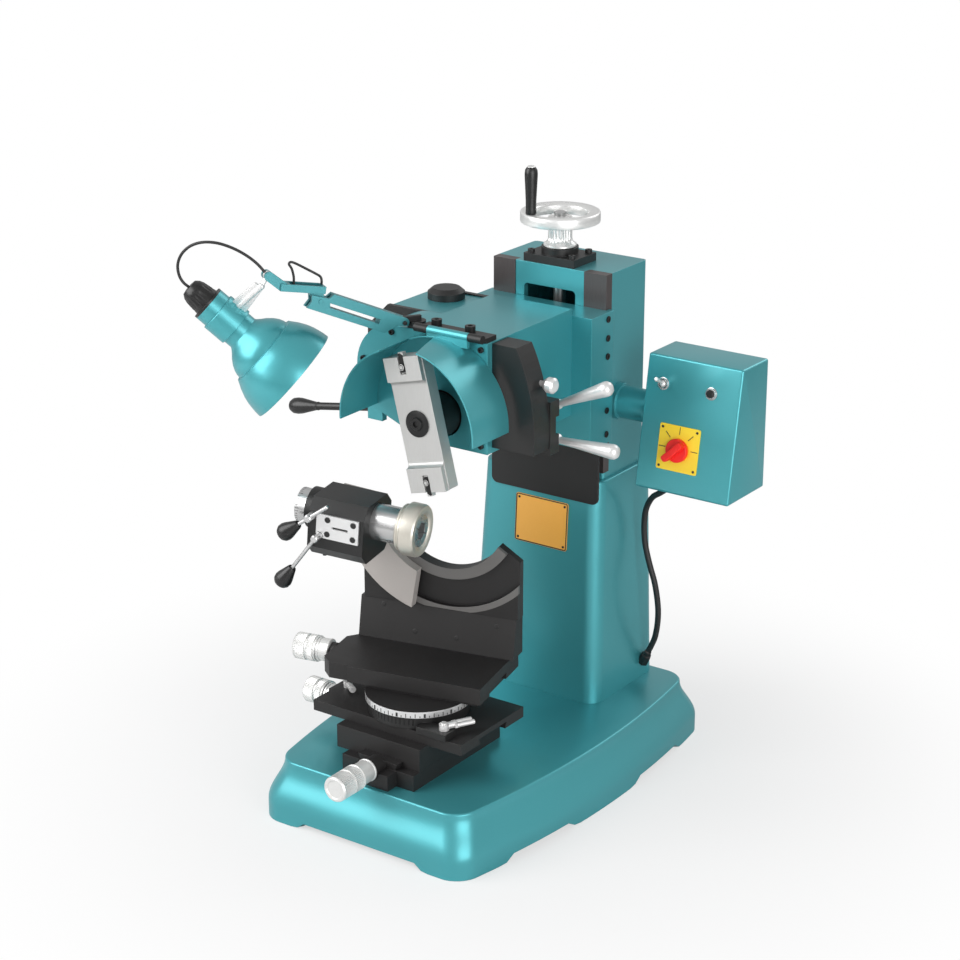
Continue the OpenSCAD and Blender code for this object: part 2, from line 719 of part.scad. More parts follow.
// One raised end of the bar, in Y and Z, with a round step down to the bar.
module end_outline() {
    step = bar_len / 2 - end_block;
    polygon(concat([[bar_front + 2, bar_len / 2], [bar_front - end_proud, bar_len / 2]],
        arc(bar_front - end_proud, step - end_proud, end_proud, 90, 0, 8), [[bar_front + 2, step - end_proud]]));
}
module fly_bar() {
    bit_y = bar_front - end_proud;
    translate([0, 0, spindle_z]) rotate([0, -bar_lean, 0]) {
        color(STEEL) difference() {
            union() {
                along_y(bar_front, bar_front + bar_t)
                    round_rect([-bar_w / 2, -bar_len / 2], [bar_w / 2, bar_len / 2], 3);
                for (s = [0, 180]) rotate([0, s, 0]) along_x(-bar_w / 2 + 1, bar_w / 2 - 1) end_outline();
            }
            // slots for the tool bits
            for (s = [0, 180])
                rotate([0, s, 0]) block([-5, bit_y - 1, bar_len / 2 - 24], [5, bit_y + 10, bar_len / 2 + 1]);
            rod_y(bar_front - 1, bar_front + 5, 19);
        }
        // hub disc
        color(BLACK) difference() {
            rod_y(bar_front - 1.5, bar_front + 5, 19 - e);
            rod_y(bar_front - 4, bar_front + 1, 5);
        }
        // tool bits and their clamp screws
        for (s = [0, 180]) rotate([0, s, 0]) {
            color(DARK) block([-4, bit_y + 2, bar_len / 2 - 23], [4, bit_y + 10, bar_len / 2 + 6]);
            color(DARK) translate([0, 0, bar_len / 2 - 14]) rod_y(bit_y - 2, bit_y + 2 + e, 4.5);
        }
    }
}

hinge_y = head_front - 8;
hinge_z = head_top + 7;
hinge_lo = -38;
hinge_hi = 74;
guard_rear = head_front - 1;
hinge_screws = [hinge_lo + 20, hinge_hi - 36];
module guard_hinge() {
    color(BLACK) difference() {
        union() {
            block([hinge_lo, hinge_y + 7, head_top], [hinge_hi, hinge_y + 32, head_top + 7]);
            for (x = [hinge_lo, hinge_hi - 22])
                translate([0, hinge_y, hinge_z]) rod_x(x, x + 22, 6);
            for (x = [hinge_lo, hinge_hi - 22])
                block([x, hinge_y, head_top + 3], [x + 22, hinge_y + 10, head_top + 7]);
        }
        translate([0, hinge_y, hinge_z]) rod_x(hinge_lo - 1, hinge_hi + 1, 3);
        for (x = hinge_screws) translate([x, hinge_y + 22, head_top - 1]) cylinder(h = 9, r = 5);
    }
    color(STEEL) translate([0, hinge_y, hinge_z]) rod_x(hinge_lo, hinge_hi, 3);
}
module guard_hood() {
    c = spindle_z;
    color(TEAL) difference() {
        union() {
            along_y(guard_rear - guard_depth, guard_rear) difference() {
                translate([0, c]) circle(guard_r, $fn = 96);
                translate([0, c]) circle(guard_r - guard_t, $fn = 96);
                translate([-guard_r - 1, c - guard_r - 7]) square([2 * guard_r + 2, guard_r + 1]);
            }
        }
        // notch in the top, in front of the hinge
        translate([0, 0, c + guard_r / 2]) linear_extrude(guard_r)
            polygon([[-42, guard_rear - guard_depth - 1], [-45.6, hinge_y - 6], [-1.7, hinge_y - 6],
                [19.5, guard_rear - guard_depth - 1]]);
    }
    // knuckle on the hinge pin
    color(TEAL) difference() {
        union() {
            translate([0, hinge_y, hinge_z]) rod_x(hinge_lo + 22 + pass, hinge_hi - 22 - pass, 6);
            block([hinge_lo + 22 + pass, hinge_y - 5, spindle_z + guard_r - 8],
                  [hinge_hi - 22 - pass, hinge_y + 1, hinge_z]);
        }
        translate([0, hinge_y, hinge_z]) rod_x(hinge_lo, hinge_hi, 3 + fit);
        translate([0, 0, c]) rod_y(-300, head_front, guard_r - 1);
    }
}

// ---------- levers and quadrant on the head ----------

feed_at = [-138, 553];
module feed_lever() {
    color(BLACK) translate([feed_at[0], 0, feed_at[1]]) difference() {
        union() {
            rod_y(-66 + pass, -48, 12);
            rotate([0, -9.7, 0]) translate([0, -57, 0]) {
                rotate([0, -90, 0]) cylinder(h = 155, r = 5.5);
                translate([-122, 0, 0]) rotate([0, -90, 0]) cylinder(h = 30, r1 = 6, r2 = 12);
                translate([-152, 0, 0]) rotate([0, -90, 0]) cylinder(h = 8, r = 12);
                translate([-160, 0, 0]) sphere(12, $fn = 32);
            }
        }
        rod_y(-70, -40, 6 + fit);
    }
}
quad_c = [-125, 570];
quad_r = 270;
quad_front = -94;
quad_t = 38;
clamp_x = 137;
clamp_z = [601, 551];
module side_quadrant() {
    color(BLACK) difference() {
        along_y(quad_front, quad_front + quad_t)
            polygon(concat([[head_right, 694], [head_right, 546]], arc(quad_c[0], quad_c[1], quad_r, -5, 27.3, 12)));
        translate([0, plunger_at[1], plunger_at[2]]) rod_x(plunger_at[0] - 40, 200, 4);
    }
    // slotted block that carries the two clamp levers
    color(BLACK) difference() {
        block([clamp_x - 11, quad_front + quad_t, clamp_z[1] - 14], [clamp_x + 9, quad_front + quad_t + 22, clamp_z[0] + 12]);
        block([clamp_x - 3, quad_front + quad_t + 14, clamp_z[1] + 12], [clamp_x + 10, quad_front + quad_t + 23, clamp_z[0] - 12]);
        for (z = clamp_z) translate([clamp_x, 0, z]) rod_y(quad_front + quad_t + 4, quad_front + quad_t + 30, 4 + fit);
    }
}
module clamp_lever(z, lean, length) {
    y0 = quad_front + quad_t + 22;
    color(STEEL) translate([clamp_x, 0, z]) {
        rod_y(y0 - 16, y0 + pass + 1, 4);
        rod_y(y0 + pass, y0 + 13, 7.5);
        translate([0, y0 + 7, 0]) rotate([0, -lean, 0]) {
            rod_x(0, length, 4.5, 10.5);
            translate([length, 0, 0]) sphere(10.8, $fn = 32);
        }
    }
}
module upper_clamp_lever() {
    clamp_lever(clamp_z[0], 25, 86);
}
module lower_clamp_lever() {
    clamp_lever(clamp_z[1], 0, 90);
}
plunger_at = [151, -64, 641];
module plunger_knob() {
    color(STEEL) translate(plunger_at) {
        rod_x(-9, -3, 7, 11);
        rod_x(-3 - e, 5, 11);
        rod_x(5 - e, 8, 11, 8);
        rod_x(-36, -8, 4 - fit);
    }
}
apron_y = 125.5;
module apron() {
    color(BLACK) along_y(apron_y, apron_y + 4) round_rect([-76, saddle_bottom - apron_h], [110, saddle_bottom], 10);
    color(BLACK) along_y(apron_y, apron_y + 4) translate([-76, saddle_bottom - 12]) square([186, 12]);
}
module head_screws() {
    for (s = [-1, 1], z = wing_screws)
        color(BLACK) translate([column_x + s * (wing_in + wing_t), col_front - 8, z]) rotate([0, s * 90, 0])
            cap_screw(3, 1.5, wing_t - 1);
    for (x = hinge_screws)
        color(BLACK) translate([x, hinge_y + 22, head_top + 7]) cap_screw(4.6, 9, 6.9);
}

// ---------- lamp ----------

lamp_at = [-52, -91];
lamp_dir = 237.8;
lamp_pivot = [20.6, head_top + 9];
lamp_turn = 212;
lamp_tilt = 48.3;
lamp_roll = -11.1;
neck_reach = 91;
neck_drop = 118;
elbow_h = lamp_pivot + lower_arm * [cos(lower_rise), sin(lower_rise)];
wrist_h = elbow_h + upper_arm * [cos(upper_rise), sin(upper_rise)];

// Frame of the arms: X outwards, Y across, Z up.
module arm_frame() {
    translate([lamp_at[0], lamp_at[1], 0]) rotate(lamp_dir) children();
}
// Frame of the lamp: origin at the mouth's centre, Z from the mouth to the socket.
module lamp_frame() {
    arm_frame() translate([wrist_h[0], 0, wrist_h[1]]) rotate(-lamp_dir)
        rotate([0, lamp_tilt, lamp_turn]) rotate(lamp_roll) translate([neck_reach, 0, -neck_drop]) children();
}
function rz(v, a) = [v[0] * cos(a) - v[1] * sin(a), v[0] * sin(a) + v[1] * cos(a), v[2]];
function ry(v, a) = [v[0] * cos(a) + v[2] * sin(a), v[1], v[2] * cos(a) - v[0] * sin(a)];
// A vector of the lamp's frame, seen in the arms' frame.
function lamp_vec(v) = rz(rz(ry(rz(v, lamp_roll), lamp_tilt), lamp_turn), -lamp_dir);
// Round bar from p to q.
module link(p, q, r) {
    d = q - p;
    translate(p) rotate([0, acos(d[2] / norm(d)), atan2(d[1], d[0])]) cylinder(h = norm(d), r = r);
}
module lamp_base() {
    color(BLACK) arm_frame() {
        translate([0, 0, head_top - 12]) cylinder(h = 13, r = 4);
        translate([0, 0, head_top + slip]) cylinder(h = 9, r = 13);
        along_y(-3, 3) polygon([[-6, head_top + 8], [-6, head_top + 16], [lamp_pivot[0] - 2, head_top + 16],
            [lamp_pivot[0] + 5, lamp_pivot[1] + 3], [lamp_pivot[0] + 5, lamp_pivot[1] - 5],
            [lamp_pivot[0] - 6, lamp_pivot[1] - 6], [8, head_top + 3]]);
        translate([lamp_pivot[0], 0, lamp_pivot[1]]) rod_y(-10, 10, 3);
    }
}
cheek_in = 3 + slip;
arm_half = 8;
module lamp_lower_arm() {
    color(TEAL) arm_frame() translate([lamp_pivot[0], 0, lamp_pivot[1]]) rotate([0, -lower_rise, 0]) difference() {
        // deep slotted beam that runs on past the elbow
        along_y(-arm_half, arm_half) difference() {
            polygon(concat(arc(0, 0, 7, 200, 90, 8), [[lower_arm - 16, 14], [lower_arm - 11, 7], [lower_arm + 15, 5.5],
                [lower_arm + 12, -3], [lower_arm + 16, -13], [24, -20], [10, -7]]));
            polygon([[36, -10], [lower_arm - 16, -5], [lower_arm - 14, 1], [36, -3.5]]);
        }
        // slots of the two joints
        block([-9, -cheek_in, -9], [13, cheek_in, 9]);
        block([lower_arm - 15, -cheek_in, -14], [lower_arm + 18, cheek_in, 15]);
        rod_y(-12, 12, 3 + fit);
        translate([lower_arm, 0, 0]) rod_y(-12, 12, 3);
    }
    color(STEEL) arm_frame() translate([elbow_h[0], 0, elbow_h[1]]) rod_y(-9, 9, 3);
}
// Ends of the channel that forms the upper arm, from the elbow's axis.
channel_lo = [-7, 15.4];
channel_hi = [56, 26];
channel_half = 11;
module lamp_upper_arm() {
    wrist = wrist_h - elbow_h;
    dir = (channel_hi - channel_lo) / norm(channel_hi - channel_lo);
    up = [-dir[1], dir[0]];
    color(TEAL) arm_frame() translate([elbow_h[0], 0, elbow_h[1]]) difference() {
        union() {
            along_y(-channel_half, channel_half) polygon([channel_lo - 5 * up, channel_hi - 5 * up,
                channel_hi + 5 * up, channel_lo + 5 * up]);
            along_y(-3, 3) polygon(concat(arc(0, 0, 7, 160, 340, 10), [channel_lo + 22 * dir - 4 * up, channel_lo - 4 * up]));
            along_y(-arm_half, arm_half) polygon(concat([channel_hi - 14 * dir - 5 * up, channel_hi - 5 * up],
                arc(wrist[0], wrist[1], 6.5, -45, 135, 10), [channel_hi - 10 * dir + 5 * up]));
        }
        // trough of the channel, open at its top
        along_y(-channel_half + 3, channel_half - 3) polygon([channel_lo + 4 * dir - 2 * up,
            channel_hi - 14 * dir - 2 * up, channel_hi - 14 * dir + 6 * up, channel_lo + 4 * dir + 6 * up]);
        // gap of the wrist's fork
        along_y(-4.2, 4.2) polygon([channel_hi + 1 * dir - 8 * up, channel_hi + 40 * dir - 8 * up,
            channel_hi + 40 * dir + 40 * up, channel_hi + 1 * dir + 40 * up]);
        rod_y(-12, 12, 3 + fit);
        translate([wrist[0], 0, wrist[1]]) rod_y(-12, 12, 2.5);
    }
    color(STEEL) arm_frame() translate([wrist_h[0], 0, wrist_h[1]]) rod_y(-8, 8, 2.5);
}
neck_r = 25;
neck_lo = 88;
neck_hi = 150;
knee = [9, 0, -14];
module lamp_bracket() {
    collar_at = lamp_vec([neck_reach - neck_r - 1.2, 0, 0]);
    color(STEEL) arm_frame() translate([wrist_h[0], 0, wrist_h[1]]) difference() {
        union() {
            rod_y(-3, 3, 6);
            link([0, 0, 0], knee, 3);
            translate(knee) sphere(4.5, $fn = 24);
            link(knee, collar_at, 4.5);
        }
        rod_y(-8, 8, 2.5 + fit);
    }
    color(STEEL) lamp_frame() translate([0, 0, neck_drop - 16]) difference() {
        cylinder(h = 32, r = neck_r + 2.5);
        translate([0, 0, -1]) cylinder(h = 34, r = neck_r);
    }
}
function shade_outer() = [[shade_r, 0], [shade_r * 0.955, 22], [shade_r * 0.84, 42], [shade_r * 0.76, 51],
    [shade_r * 0.70, 53], [shade_r * 0.60, 66], [shade_r * 0.46, 80], [neck_r + 2, 86], [neck_r, neck_lo]];
module lamp_shade() {
    outer = shade_outer();
    inner = [for (i = [len(outer) - 1:-1:0]) [outer[i][0] - shade_t, outer[i][1] - (i == 0 ? 0 : shade_t)]];
    color(TEAL) lamp_frame() {
        rotate_extrude($fn = 72) polygon(concat(outer, [[neck_r, neck_hi], [neck_r - shade_t, neck_hi]], inner));
    }
}
module lamp_socket() {
    color(BLACK) lamp_frame() {
        translate([0, 0, neck_hi - 30]) cylinder(h = 30, r = neck_r - shade_t);
        translate([0, 0, neck_hi]) cylinder(h = 3, r = neck_r);
        translate([0, 0, neck_hi + 3]) cylinder(h = 20, r1 = 20, r2 = 18);
        translate([0, 0, neck_hi + 23]) cylinder(h = 12, r1 = 18, r2 = 12);
    }
    // bulb
    color([0.95, 0.95, 0.9]) lamp_frame() {
        translate([0, 0, 78]) cylinder(h = neck_hi - 30 - 78 + e, r = 13);
        translate([0, 0, 52]) sphere(28, $fn = 36);
        translate([0, 0, 66]) cylinder(h = 14, r1 = 23.5, r2 = 13);
    }
}
// Route of the lamp's lead, in the lamp's frame, from the socket to the wrist.
lamp_route = [[0, 0, 184], [0, 0, 195], [-5, 0, 206], [-16, 0, 216], [-32, 0, 221], [-50, 0, 219], [-66, 0, 210],
    [-79, 0, 195], [-88, 0, 176], [-93, 0, 156], [-94, 0, 138], [-91.5, 0, 121]];
module lamp_cable() {
    color(BLACK) lamp_frame() sweep(lamp_route, 2, 8);
}
// ---------- lower table ----------

bed_top = base_h + 24;
plate_bot = base_h + 58.5;
plate_top = plate_bot + plate_t;
plate_x = -9;
plate_y = rotary_y + 10;
bed_front = rotary_y - 98;
bed_rear = rotary_y + 112;
car_front = bed_front + 14;
car_rear = bed_rear - 24;
car_left = 20;
y_screw_z = base_h + 26;
x_screw_z = plate_bot - 13;
bearing_t = 12;
dove_w = 60;
dove_h = 9;

// Dovetail outline that stands on y = 0, wider at its top.
module dovetail(grow = 0) {
    w = dove_w / 2 + grow;
    polygon([[-w, -e], [-w - 4, dove_h + grow], [w + 4, dove_h + grow], [w, -e]]);
}
// Stepped and grooved feed knob along +Z, its shaft below.
module feed_knob(length = knob_len, r = knob_r) {
    difference() {
        union() {
            cylinder(h = length * 0.34, r = r * 0.9);
            translate([0, 0, length * 0.34 - e]) cylinder(h = length * 0.62, r = r);
            translate([0, 0, length * 0.96 - 2 * e]) cylinder(h = length * 0.04, r1 = r, r2 = r - 2);
        }
        for (z = [0.38, 0.62])
            translate([0, 0, length * z]) difference() {
                cylinder(h = 3, r = r + 1);
                translate([0, 0, -1]) cylinder(h = 5, r = r - 1.5);
            }
    }
}
module y_bed() {
    color(DARK) difference() {
        union() {
            block([-bed_w / 2, bed_front, base_h], [bed_w / 2, bed_rear, bed_top]);
            along_y(bed_front, bed_rear) translate([0, bed_top]) dovetail();
            // front bearing of the feed screw
            block([-32, bed_front - 20, base_h], [32, bed_front + e, bed_top - 1]);
            translate([0, 0, y_screw_z]) rod_y(bed_front - 22, bed_front + e, 14);
        }
        translate([0, 0, y_screw_z]) rod_y(bed_front - 30, bed_rear + 1, feed_r + fit);
        block([-14, bed_front + 20, y_screw_z - 16], [14, bed_rear - 20, bed_top + dove_h + 1]);
    }
}
module y_screw() {
    color(STEEL) translate([0, bed_front - 22 - pass, y_screw_z]) rotate([90, 0, 0]) feed_knob(knob_len + 19, knob_r - 1);
    color(STEEL) translate([0, 0, y_screw_z]) rod_y(bed_front - 23 - pass, bed_rear - 4, feed_r);
}
module y_carriage() {
    top = plate_bot - slip;
    color(DARK) difference() {
        union() {
            block([-bed_w / 2 - car_left, car_front, bed_top + slip], [bed_w / 2, car_rear, top]);
            along_x(-bed_w / 2 - car_left, bed_w / 2) translate([plate_y, top]) dovetail();
        }
        along_y(car_front - 1, car_rear + 1) translate([0, bed_top]) dovetail(slip);
        translate([0, plate_y, x_screw_z]) rod_x(-200, 200, feed_r + fit);
    }
    // nut on the front-to-back feed screw
    color(DARK) difference() {
        block([-11, rotary_y - 12, y_screw_z - 12], [11, rotary_y + 12, bed_top + dove_h + slip + e]);
        translate([0, 0, y_screw_z]) rod_y(rotary_y - 20, rotary_y + 20, feed_r + fit);
    }
}
plate_l = plate_x - plate_w / 2;
module x_plate() {
    color(DARK) difference() {
        union() {
            block([plate_l, plate_y - plate_d / 2, plate_bot], [plate_l + plate_w, plate_y + plate_d / 2, plate_top]);
            // end bearing of the cross feed screw
            block([plate_l - bearing_t, plate_y - 26, x_screw_z - 14], [plate_l + e, plate_y + 26, plate_top - 5]);
            translate([plate_l - bearing_t, plate_y, x_screw_z]) rod_x(0, bearing_t, 17);
        }
        along_x(plate_l + e, plate_l + plate_w + 1) translate([plate_y, plate_bot - slip]) dovetail(slip);
        translate([0, plate_y, x_screw_z]) rod_x(-250, 200, feed_r + fit);
        translate([thumb_at[0], thumb_at[1], plate_top - 10]) cylinder(h = 11, r = 4 + fit);
    }
}
module x_screw() {
    color(STEEL) translate([plate_l - bearing_t - pass, plate_y, x_screw_z]) rotate([0, -90, 0]) feed_knob();
    color(STEEL) translate([0, plate_y, x_screw_z]) rod_x(plate_l - bearing_t - 2, plate_x + 60, feed_r);
}
thumb_at = [plate_l + 14, rotary_y - 4];
module thumb_lever() {
    color(STEEL) translate([thumb_at[0], thumb_at[1], plate_top - 9]) {
        cylinder(h = 19, r = 4);
        translate([0, 0, 9 + slip]) cylinder(h = 10, r = 6.5);
        translate([0, 0, 14]) rotate(-38) rotate([0, 84, 0]) cylinder(h = 28, r1 = 4, r2 = 5);
    }
}

// ---------- rotary table ----------

turn_r = ring_r - 4;
turn_z = plate_top + 18;
ring_t = 10;
table_z = turn_z + ring_t;
slide_z = table_z + 4;
slide_top = slide_z + upper_t;
slide_y = 40;
slide_lo = [-100, -25];
slide_hi = [upper_w - 100, 118];
nut_top = slide_z + dove_h + 9.5;
u_screw_z = slide_z + 12;
collar_t = 8.6;
lock_at = [84, -56, 15.2];

module table_frame() {
    translate([0, rotary_y, 0]) rotate(table_turn) children();
}
module rotary_base() {
    color(BLACK) translate([0, rotary_y, 0]) difference() {
        union() {
            translate([0, 0, plate_top]) cylinder(h = turn_z - plate_top - slip, r = turn_r, $fn = 96);
            block([46, lock_at[1] - 14, plate_top], [lock_at[0] + 12, lock_at[1] + 10, plate_top + 10]);
        }
        translate([0, 0, plate_top - 1]) cylinder(h = 30, r = 20 + fit);
        translate([lock_at[0], lock_at[1], plate_top + 1]) cylinder(h = 12, r = 4 + fit);
        // knurled band
        for (a = [-120:5:-60]) rotate(a) translate([turn_r, 0, plate_top + 5]) cylinder(h = 9, r = 1, $fn = 12);
    }
}
// Short forked lever on an upright stud.
module rotary_lock() {
    color(STEEL) translate([lock_at[0], rotary_y + lock_at[1], plate_top + lock_at[2]]) {
        translate([0, 0, -lock_at[2] + 1 + slip]) cylinder(h = lock_at[2] + 5, r = 4);
        translate([0, 0, 10 - lock_at[2] + slip]) cylinder(h = 9, r = 7);
        rotate(62) {
            rod_x(0, 18, 5);
            block([14, -7, -3], [20, 7, 3]);
            for (y = [-4.5, 4.5]) translate([0, y, 0]) rod_x(18, 44, 3.5);
        }
    }
}
module rotary_table() {
    table_frame() {
        // graduated ring
        color(STEEL) difference() {
            translate([0, 0, turn_z]) cylinder(h = ring_t, r = ring_r, $fn = 96);
            for (a = [-170:5:-10]) rotate(a) translate([ring_r, 0, turn_z + (a % 10 == 0 ? 3 : 5)])
                cylinder(h = 8, r = 0.5, $fn = 4);
        }
        color(BLACK) translate([0, 0, plate_top + 2]) cylinder(h = turn_z - plate_top, r = 20);
        // slide bed with its dovetail, and the nut on top
        color(DARK) difference() {
            union() {
                block([slide_lo[0] + 22, slide_lo[1] + 4, table_z], [slide_hi[0] - 6, slide_hi[1] - 4, slide_z]);
                along_x(slide_lo[0] + 22, slide_hi[0] - 6) translate([slide_y, slide_z]) dovetail();
                block([-12, slide_y - 9, slide_z], [12, slide_y + 9, nut_top]);
            }
            translate([0, slide_y, u_screw_z]) rod_x(-20, 20, feed_r + fit);
            for (s = [0, 1])
                block([s == 0 ? -100 : 12, slide_y - 8, u_screw_z - 7], [s == 0 ? -12 : 130, slide_y + 8, slide_z + dove_h + 1]);
        }
    }
}
module upper_slide() {
    color(DARK) table_frame() difference() {
        union() {
            block([slide_lo[0], slide_lo[1], slide_z + slip], [slide_hi[0], slide_hi[1], slide_top]);
            // chamfered end block that carries the feed screw
            translate([0, 0, slide_z + slip]) linear_extrude(upper_t - slip)
                polygon([[slide_lo[0] + e, slide_lo[1] + 4], [slide_lo[0] - 30, slide_lo[1] + 4],
                    [slide_lo[0] - 46, slide_lo[1] + 22], [slide_lo[0] - 46, slide_lo[1] + 96],
                    [slide_lo[0] - 30, slide_hi[1] - 30], [slide_lo[0] + e, slide_hi[1] - 30]]);
            // collar of the feed screw
            translate([0, slide_y, u_screw_z]) rod_x(slide_lo[0] - 46 - collar_t, slide_lo[0] - 46 + e, 13);
        }
        along_x(slide_lo[0] + 4, slide_hi[0] + 1) translate([slide_y, slide_z]) dovetail(slip);
        block([slide_lo[0] + 4, slide_y - 12, slide_z + dove_h - 1], [slide_hi[0] - 12, slide_y + 12, nut_top + 1]);
        translate([0, slide_y, u_screw_z]) rod_x(-160, 60, feed_r + fit);
    }
}
module upper_screw() {
    color(STEEL) table_frame() {
        translate([slide_lo[0] - 46 - collar_t - pass, slide_y, u_screw_z]) rotate([0, -90, 0]) feed_knob();
        translate([0, slide_y, u_screw_z]) rod_x(slide_lo[0] - 48 - collar_t, 50, feed_r);
    }
}

// ---------- cradle and work head ----------

angle_top = slide_top + 59;
cradle_y = 92;
cradle_x = -6.5;
arc_x = 5;
track_in = arc_in + 16;
track_out = arc_out - 9;
track_d = 8;
angle_bolts = [[-96, 51], [-44, 19], [21, 19], [81, 45]];
horn_low = arc_z - 68;

module angle_plate() {
    lean = atan2(12, 59);
    color(DARK) table_frame() {
        along_x(-132, 110) polygon([[cradle_y - 10, slide_top], [cradle_y + 2, angle_top], [cradle_y + 26, angle_top],
            [cradle_y + 26, slide_top]]);
    }
    color(BLACK) table_frame() translate([0, cradle_y - 10, slide_top]) rotate([-lean, 0, 0])
        for (b = angle_bolts) translate([b[0], 0, b[1] / cos(lean)]) rotate([90, 0, 0])
            translate([0, 0, -0.01]) cylinder(h = 0.8, r = 2.6);
}
module cradle() {
    x0 = cradle_x - cradle_w / 2;
    x1 = cradle_x + cradle_w / 2;
    color(GREY) table_frame() difference() {
        along_y(cradle_y, cradle_y + cradle_t)
            polygon(concat([[x0, angle_top], [x1, angle_top], [x1, horn_low]],
                arc(arc_x, arc_z, arc_in, -asin(47 / arc_in), asin(47 / arc_in) - 180, 40),
                [[x0, horn_low]]));
        translate([arc_x, 0, arc_z]) difference() {
            rod_y(cradle_y - 1, cradle_y + track_d, track_out);
            rod_y(cradle_y - 2, cradle_y + track_d + 1, track_in);
        }
    }
}
// Frame of the work head: X along its axis towards the chuck, origin at the arc's centre.
module work_frame() {
    table_frame() translate([arc_x, 0, arc_z]) rotate([0, work_tilt, 0]) children();
}
sector_front = 76;
pad_y = work_d / 2;
body_lo = -165;
body_hi = -66;
sector_a = [178, 251];
sector_tip = 256;
module sector() {
    r0 = arc_in + 13;
    r1 = arc_out + 3;
    color([0.62, 0.60, 0.58]) work_frame() {
        along_y(sector_front, cradle_y - 0.3)
            polygon(concat(arc(0, 0, r1, sector_a[0], sector_tip, 24), arc(0, 0, r0, sector_a[1], sector_a[0], 24)));
        // key in the cradle's track
        along_y(cradle_y - 0.4, cradle_y + track_d - 1)
            polygon(concat(arc(0, 0, track_out - slip, sector_a[0] + 2, sector_a[1] - 2, 48),
                arc(0, 0, max(track_in + slip, r0), sector_a[1] - 2, sector_a[0] + 2, 48)));
    }
}
body_front = -150;
body_under = 54;
body_ease = 16;
// Octagon across the body, w to each side and from z0 to z1, its corners cut by c.
module oct(w, z0, z1, c) {
    polygon([[-w + c, z0], [w - c, z0], [w, z0 + c], [w, z1 - c], [w - c, z1], [-w + c, z1], [-w, z1 - c], [-w, z0 + c]]);
}
index_hub = [-142.5, 9];
work_hub = [-131, -18.5];
module work_body() {
    color(BLACK) work_frame() difference() {
        union() {
            along_x(body_front, body_hi) oct(work_d / 2, -body_under, work_h - body_under, body_ease);
            rod_x(body_lo, body_front + e, sleeve_r + 3.5);
            // pad that joins the body to the sector
            block([body_front, pad_y - e, -52], [-106, sector_front, 0]);
            translate([-138, -12, -body_under - 9]) cylinder(h = 12, r = 3);
        }
        rod_x(body_lo - 1, body_hi + 1, sleeve_r + fit);
        for (h = [index_hub, work_hub])
            translate([h[0], 0, h[1]]) rod_y(-work_d / 2 - 1, -work_d / 2 + 9, 3 + fit);
    }
}
side_screws = [-119, -80];
module side_plate() {
    y = -work_d / 2;
    color(STEEL) work_frame() difference() {
        block([-136, y - 3, -21], [-72, y, 14]);
        for (x = side_screws, z = [-14, 7]) translate([x, 0, z]) rod_y(y - 4, y - 1.5, 4.5);
        block([-112, y - 4, -5], [-88, y - 1, -1.5]);
        translate([work_hub[0], 0, work_hub[1]]) rod_y(y - 4, y + 1, 5.4 + pass);
    }
    color(BLACK) work_frame() for (x = side_screws, z = [-14, 7])
        translate([x, 0, z]) rod_y(y - 3.2, y - 1.5, 4.2);
}
module work_spindle() {
    color(STEEL) work_frame() {
        difference() {
            union() {
                rod_x(body_lo - 2, -20, sleeve_r);
                rod_x(body_lo - 17, body_lo - 2 + e, 25);
            }
            rod_x(body_lo - 30, 0, 10);
        }
        // chuck with a slotted nose
        difference() {
            rod_x(-21, 1, chuck_bore_r + 3);
            rod_x(-12, 2, chuck_bore_r - 8);
            for (a = [0:60:300]) rotate([a, 0, 0]) block([-14, -1, 0], [2, 1, chuck_bore_r + 1]);
            rod_x(-22, -11, 10);
        }
    }
}
module chuck_nut() {
    color([0.80, 0.76, 0.68]) work_frame() difference() {
        union() {
            rod_x(-27, -19, chuck_r - 4);
            rod_x(-19 - e, 1, chuck_r);
            rod_x(1 - e, 3, chuck_r, chuck_r - 2);
        }
        rod_x(-40, -19, sleeve_r);
        rod_x(-20, 4, chuck_bore_r + 3);
    }
}
// Tapered hand lever: hub on the body's face, rod to a knob at (dx, dz) from the hub.
module hand_lever(hub, dx, dz, tail) {
    y = -work_d / 2;
    len = norm([dx, dz]);
    work_frame() translate([hub[0], 0, hub[1]]) {
        color(STEEL) {
            rod_y(y - 20, y + 8, 3);
            rod_y(y - 20, y - slip, 5.4);
            translate([0, y - 14, 0]) rotate([0, atan2(dx, dz), 0]) {
                translate([0, 0, -tail]) cylinder(h = len - 14 + tail, r = 2.8);
            }
        }
        color(BLACK) translate([0, y - 14, 0]) rotate([0, atan2(dx, dz), 0]) {
            translate([0, 0, len - 22]) cylinder(h = 22, r1 = 6, r2 = 12.9);
            translate([0, 0, len]) sphere(13, $fn = 32);
        }
    }
}
module index_lever() {
    hand_lever(index_hub, -32, -26, 36);
}
module work_lever() {
    hand_lever(work_hub, -45, -70, 0);
}

base_casting();
pedestal();
column();
column_ways();
bearing_flange();
name_plate();
control_tube();
control_box();
control_cable();
y_bed();
handwheel();
lead_screw();
wheel_grip();
saddle();
head_body();
head_screws();
belt_cover();
motor_housing();
motor_ends();
guard_hinge();
side_quadrant();
apron();
drive_belt();
spindle();
fly_bar();
motor_rotor();
guard_hood();
feed_lever();
upper_clamp_lever();
lower_clamp_lever();
plunger_knob();
lamp_base();
lamp_lower_arm();
lamp_upper_arm();
lamp_bracket();
lamp_shade();
lamp_socket();
lamp_cable();
y_carriage();
y_screw();
x_plate();
x_screw();
rotary_base();
rotary_table();
rotary_lock();
thumb_lever();
upper_slide();
upper_screw();
angle_plate();
cradle();
sector();
work_body();
side_plate();
work_spindle();
chuck_nut();
index_lever();
work_lever();
selector_knob();
toggle_switch();
push_button();
